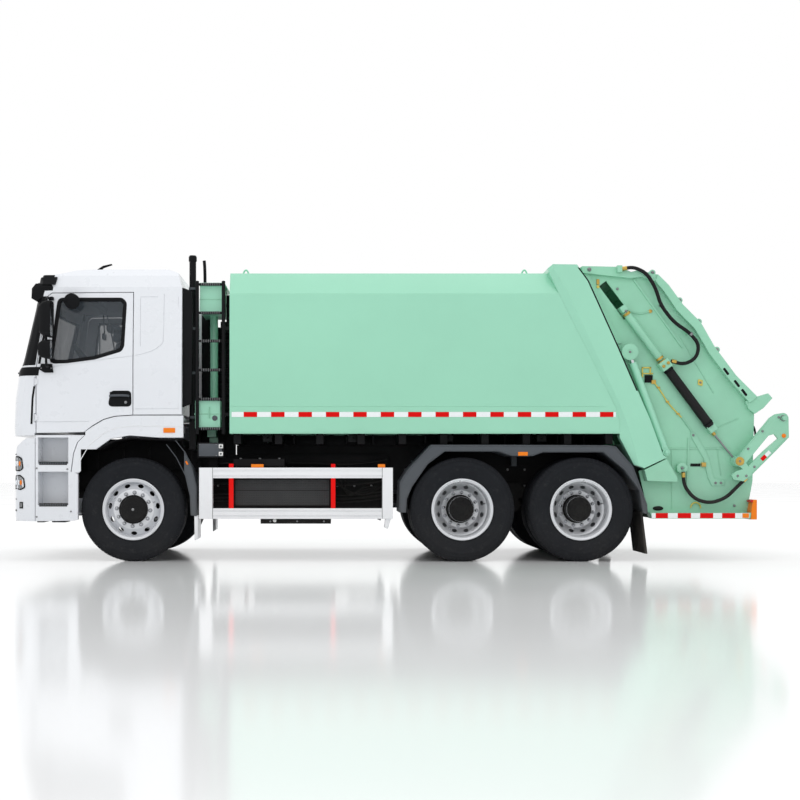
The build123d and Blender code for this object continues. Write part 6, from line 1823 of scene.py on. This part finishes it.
def make_camera():
    """Camera level with the lamps, square on to the truck's left side."""
    data = bpy.data.cameras.new("camera")
    data.lens = CAMERA_LENS
    data.sensor_width = 36
    data.shift_x, data.shift_y = CAMERA_SHIFT
    data.clip_end = 400
    holder = placed("camera", data)
    holder.location = CAMERA_AT
    holder.rotation_euler = (math.radians(90), 0, 0)
    bpy.context.scene.camera = holder
    bpy.context.scene.view_settings.view_transform = "Standard"


# ---- properties, operators, panel and run ----

def colour_property(name, description, default):
    """Colour that the user may change."""
    return bpy.props.FloatVectorProperty(name=name, description=description, default=default, subtype="COLOR", size=4,
        min=0.0, max=1.0)


class TruckColours(bpy.types.PropertyGroup):
    """Colours of the main finishes"""

    body: colour_property("Load body", "Paint of the load body and its rear frame", srgb(152, 214, 186))
    gate: colour_property("Tailgate", "Paint of the tailgate, lifter and packer", srgb(145, 206, 176))
    cab: colour_property("Cab", "Paint of the cab and its doors", srgb(226, 229, 234))
    stripe: colour_property("Stripes", "Red of the striped bands", srgb(218, 0, 2))
    post: colour_property("Posts", "Paint of the guard posts", srgb(232, 2, 0))
    wheel: colour_property("Wheels", "Metal of the rims and nuts", srgb(214, 216, 220))
    seat: colour_property("Seats", "Cloth of the seats", srgb(52, 54, 60))


class TruckSizes(bpy.types.PropertyGroup):
    """Counts, sizes and light powers"""

    lug_count: bpy.props.IntProperty(name="Tyre lugs", description="Tread lugs round one tyre", default=LUG_COUNT,
        min=24, max=120)
    nut_count: bpy.props.IntProperty(name="Wheel nuts", description="Nuts on one wheel", default=NUT_COUNT, min=4,
        max=20)
    nut_circle: bpy.props.FloatProperty(name="Nut circle", description="Radius on which the wheel nuts stand",
        default=NUT_R, min=0.15, max=0.21, unit="LENGTH")
    key_power: bpy.props.FloatProperty(name="Key light", description="Power of the large front light", default=220,
        min=0, unit="POWER")
    top_power: bpy.props.FloatProperty(name="Top light", description="Power of the light overhead", default=300, min=0,
        unit="POWER")


class TRUCK_OT_stage(bpy.types.Operator):
    """Makes the floor, the lights and the camera"""

    bl_idname = "truck.stage"
    bl_label = "Stage"

    def execute(self, context):
        make_floor()
        make_lights(context.scene.truck_sizes)
        make_camera()
        return {"FINISHED"}


class TRUCK_OT_paint(bpy.types.Operator):
    """Makes every finish and gives the CAD nodes theirs"""

    bl_idname = "truck.paint"
    bl_label = "Paint"

    def execute(self, context):
        make_palette(context.scene.truck_colours)
        dress_nodes()
        return {"FINISHED"}


class TRUCK_OT_wheels(bpy.types.Operator):
    """Makes the tyres with their lugs, the nuts, the hub caps and the valves"""

    bl_idname = "truck.wheels"
    bl_label = "Tyres and nuts"

    def execute(self, context):
        make_wheels(context.scene.truck_sizes)
        return {"FINISHED"}


class TRUCK_OT_rims(bpy.types.Operator):
    """Makes the rims, the discs with their vents and the hubs"""

    bl_idname = "truck.rims"
    bl_label = "Rims"

    def execute(self, context):
        make_rims()
        return {"FINISHED"}


class TRUCK_OT_door_trim(bpy.types.Operator):
    """Makes the window rubbers, handles, round mirrors and bands of both doors"""

    bl_idname = "truck.door_trim"
    bl_label = "Door trim"

    def execute(self, context):
        both_sides(make_door_trim, "door_trim", "door", "trim_black", "trim_black cab_paint dark_grey bare_steel")
        return {"FINISHED"}


class TRUCK_OT_cab_sides(bpy.types.Operator):
    """Makes the pillars, creases and clips of the cab's sides"""

    bl_idname = "truck.cab_sides"
    bl_label = "Cab sides"

    def execute(self, context):
        both_sides(make_cab_side, "cab_side_trim", "cab", "trim_black", "trim_black cab_paint mirror_face lamp_amber")
        return {"FINISHED"}


class TRUCK_OT_mirrors(bpy.types.Operator):
    """Makes the door mirrors with their arms and glasses"""

    bl_idname = "truck.mirrors"
    bl_label = "Mirrors"

    def execute(self, context):
        both_sides(make_mirror_cluster, "mirror_dressed", "door", "trim_black", "trim_black mirror_face bare_steel",
            "mirror")
        return {"FINISHED"}


class TRUCK_OT_cab_face(bpy.types.Operator):
    """Makes the screen rubber, cowl, slats, wipers and visor tier"""

    bl_idname = "truck.cab_face"
    bl_label = "Cab face"

    def execute(self, context):
        make_cab_face()
        return {"FINISHED"}


class TRUCK_OT_cab_roof(bpy.types.Operator):
    """Makes the hatch, ribs and sockets of the cab's roof"""

    bl_idname = "truck.cab_roof"
    bl_label = "Cab roof"

    def execute(self, context):
        make_roof()
        return {"FINISHED"}


class TRUCK_OT_door_cards(bpy.types.Operator):
    """Makes the inner panels of both doors"""

    bl_idname = "truck.door_cards"
    bl_label = "Door cards"

    def execute(self, context):
        both_sides(make_door_card, "door_card", "door", "trim_black", "cabin_grey trim_black")
        return {"FINISHED"}


class TRUCK_OT_cabin(bpy.types.Operator):
    """Makes the levers, console and dash fittings in the cab"""

    bl_idname = "truck.cabin"
    bl_label = "Cabin"

    def execute(self, context):
        make_cabin()
        return {"FINISHED"}


class TRUCK_OT_seats(bpy.types.Operator):
    """Makes both stuffed seats and their frames"""

    bl_idname = "truck.seats"
    bl_label = "Seats"

    def execute(self, context):
        make_seats()
        return {"FINISHED"}


class TRUCK_OT_headlamps(bpy.types.Operator):
    """Makes the lamp units that stand in for the plain ones"""

    bl_idname = "truck.headlamps"
    bl_label = "Headlamps"

    def execute(self, context):
        both_sides(make_headlamp, "headlamp_dressed", "chassis", "lamp_clear", LAMP_FINISHES)
        for word, _ in SIDES:
            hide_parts("headlamps")
        return {"FINISHED"}


class TRUCK_OT_corner_lamps(bpy.types.Operator):
    """Makes the lamp units that wrap the bumper's corners"""

    bl_idname = "truck.corner_lamps"
    bl_label = "Corner lamps"

    def execute(self, context):
        both_sides(make_corner_lamps, "corner_lamps", "chassis", "lamp_clear", LAMP_FINISHES)
        return {"FINISHED"}


class TRUCK_OT_arch_liners(bpy.types.Operator):
    """Makes the dark liners over the front wheels"""

    bl_idname = "truck.arch_liners"
    bl_label = "Arch liners"

    def execute(self, context):
        both_sides(make_arch_liner, "arch_liner", "chassis", "chassis_black", "chassis_black trim_black")
        return {"FINISHED"}


class TRUCK_OT_bumper_trim(bpy.types.Operator):
    """Makes the bumper's lines, fog lamps and lower lip"""

    bl_idname = "truck.bumper_trim"
    bl_label = "Bumper trim"

    def execute(self, context):
        both_sides(make_front_lamps, "bumper_trim", "chassis", "dark_grey", "trim_black dark_grey lamp_glass")
        return {"FINISHED"}


class TRUCK_OT_step_trim(bpy.types.Operator):
    """Makes the step treads, edge strips and mud lips"""

    bl_idname = "truck.step_trim"
    bl_label = "Step trim"

    def execute(self, context):
        both_sides(make_step_trim, "step_trim", "chassis", "dark_grey",
            "trim_black bare_steel lamp_amber guard_white dark_grey")
        return {"FINISHED"}


class TRUCK_OT_body_stripe(bpy.types.Operator):
    """Makes the striped bands and side stringers of the load body"""

    bl_idname = "truck.body_stripe"
    bl_label = "Body stripes"

    def execute(self, context):
        both_sides(make_body_trim, "body_stripe", "chassis", "body_green",
            "stripe_red stripe_white chassis_black trim_black body_paint")
        return {"FINISHED"}


class TRUCK_OT_body_roof(bpy.types.Operator):
    """Makes the roof rails and ribs of the load body"""

    bl_idname = "truck.body_roof"
    bl_label = "Body roof"

    def execute(self, context):
        make_body_roof()
        return {"FINISHED"}


class TRUCK_OT_guards(bpy.types.Operator):
    """Makes the guard rails, red posts and side markers"""

    bl_idname = "truck.guards"
    bl_label = "Side guards"

    def execute(self, context):
        both_sides(make_guard_trim, "guard_trim", "chassis", "guard_grey",
            "guard_white post_red lamp_amber dark_grey flap_rubber")
        return {"FINISHED"}


class TRUCK_OT_side_gear(bpy.types.Operator):
    """Makes the boxes, straps and caps beside the frame"""

    bl_idname = "truck.side_gear"
    bl_label = "Side gear"

    def execute(self, context):
        make_left_gear()
        return {"FINISHED"}


class TRUCK_OT_cab_rear(bpy.types.Operator):
    """Makes the lines, clamps and sleeves behind the cab"""

    bl_idname = "truck.cab_rear"
    bl_label = "Rear of cab"

    def execute(self, context):
        make_rear_of_cab()
        return {"FINISHED"}


class TRUCK_OT_rail_bolts(bpy.types.Operator):
    """Makes the bolt rows of the frame rails"""

    bl_idname = "truck.rail_bolts"
    bl_label = "Rail bolts"

    def execute(self, context):
        make_rail_bolts()
        return {"FINISHED"}


class TRUCK_OT_gate_trim(bpy.types.Operator):
    """Makes the ribs, stripes, pipes and lamps of the tailgate's sides"""

    bl_idname = "truck.gate_trim"
    bl_label = "Gate trim"

    def execute(self, context):
        both_sides(make_gate_trim, "gate_trim", "tailgate", "body_green", GATE_FINISHES)
        return {"FINISHED"}


class TRUCK_OT_packer_shields(bpy.types.Operator):
    """Makes the tubes over the packer rods"""

    bl_idname = "truck.packer_shields"
    bl_label = "Packer shields"

    def execute(self, context):
        both_sides(make_shield, "packer_shield", "carriage", "body_green", "gate_paint fitting_brass bare_steel")
        return {"FINISHED"}


class TRUCK_OT_ram_caps(bpy.types.Operator):
    """Makes the covers on the lift rams' upper eyes"""

    bl_idname = "truck.ram_caps"
    bl_label = "Ram caps"

    def execute(self, context):
        both_sides(make_ram_cap, "ram_cap", "lift_ram_rods", "body_green", "gate_paint bare_steel")
        return {"FINISHED"}


class TRUCK_OT_lifter_trim(bpy.types.Operator):
    """Makes the reflectors, lamps, bushes and ribs of the lifter arms"""

    bl_idname = "truck.lifter_trim"
    bl_label = "Lifter trim"

    def execute(self, context):
        both_sides(make_lifter_trim, "lifter_trim", "lifter", "body_green",
            "gate_paint fitting_brass bare_steel stripe_red stripe_white lamp_amber")
        return {"FINISHED"}


class TRUCK_OT_gate_back(bpy.types.Operator):
    """Makes the hood ribs, work lamps and sill of the tailgate's back"""

    bl_idname = "truck.gate_back"
    bl_label = "Gate back"

    def execute(self, context):
        make_gate_back()
        return {"FINISHED"}


OPERATORS = (
    TRUCK_OT_stage, TRUCK_OT_paint, TRUCK_OT_wheels, TRUCK_OT_rims, TRUCK_OT_door_trim, TRUCK_OT_cab_sides,
    TRUCK_OT_mirrors, TRUCK_OT_cab_face, TRUCK_OT_cab_roof, TRUCK_OT_door_cards, TRUCK_OT_cabin, TRUCK_OT_seats,
    TRUCK_OT_headlamps, TRUCK_OT_corner_lamps, TRUCK_OT_arch_liners, TRUCK_OT_bumper_trim, TRUCK_OT_step_trim,
    TRUCK_OT_body_stripe, TRUCK_OT_body_roof, TRUCK_OT_guards, TRUCK_OT_side_gear, TRUCK_OT_cab_rear,
    TRUCK_OT_rail_bolts, TRUCK_OT_gate_trim, TRUCK_OT_packer_shields, TRUCK_OT_ram_caps, TRUCK_OT_lifter_trim,
    TRUCK_OT_gate_back)


class TRUCK_PT_panel(bpy.types.Panel):
    """Colours, sizes and one button for each group of pieces"""

    bl_idname = "TRUCK_PT_panel"
    bl_label = "Garbage Truck"
    bl_space_type = "VIEW_3D"
    bl_region_type = "UI"
    bl_category = "Truck"

    def draw(self, context):
        for group in (context.scene.truck_colours, context.scene.truck_sizes):
            column = self.layout.column()
            for name in group.__annotations__:
                column.prop(group, name)
        column = self.layout.column(align=True)
        for kind in OPERATORS:
            column.operator(kind.bl_idname)


CLASSES = (TruckColours, TruckSizes, *OPERATORS, TRUCK_PT_panel)


def register():
    """Adds the operators, the panel and the user's values."""
    for kind in CLASSES:
        bpy.utils.register_class(kind)
    bpy.types.Scene.truck_colours = bpy.props.PointerProperty(type=TruckColours)
    bpy.types.Scene.truck_sizes = bpy.props.PointerProperty(type=TruckSizes)


def unregister():
    """Takes them away again."""
    del bpy.types.Scene.truck_sizes
    del bpy.types.Scene.truck_colours
    for kind in reversed(CLASSES):
        bpy.utils.unregister_class(kind)


def main():
    """Makes the truck's looks around the frame."""
    register()
    for kind in OPERATORS:
        getattr(bpy.ops.truck, kind.bl_idname.split(".")[1])()


if __name__ == "__main__":
    main()
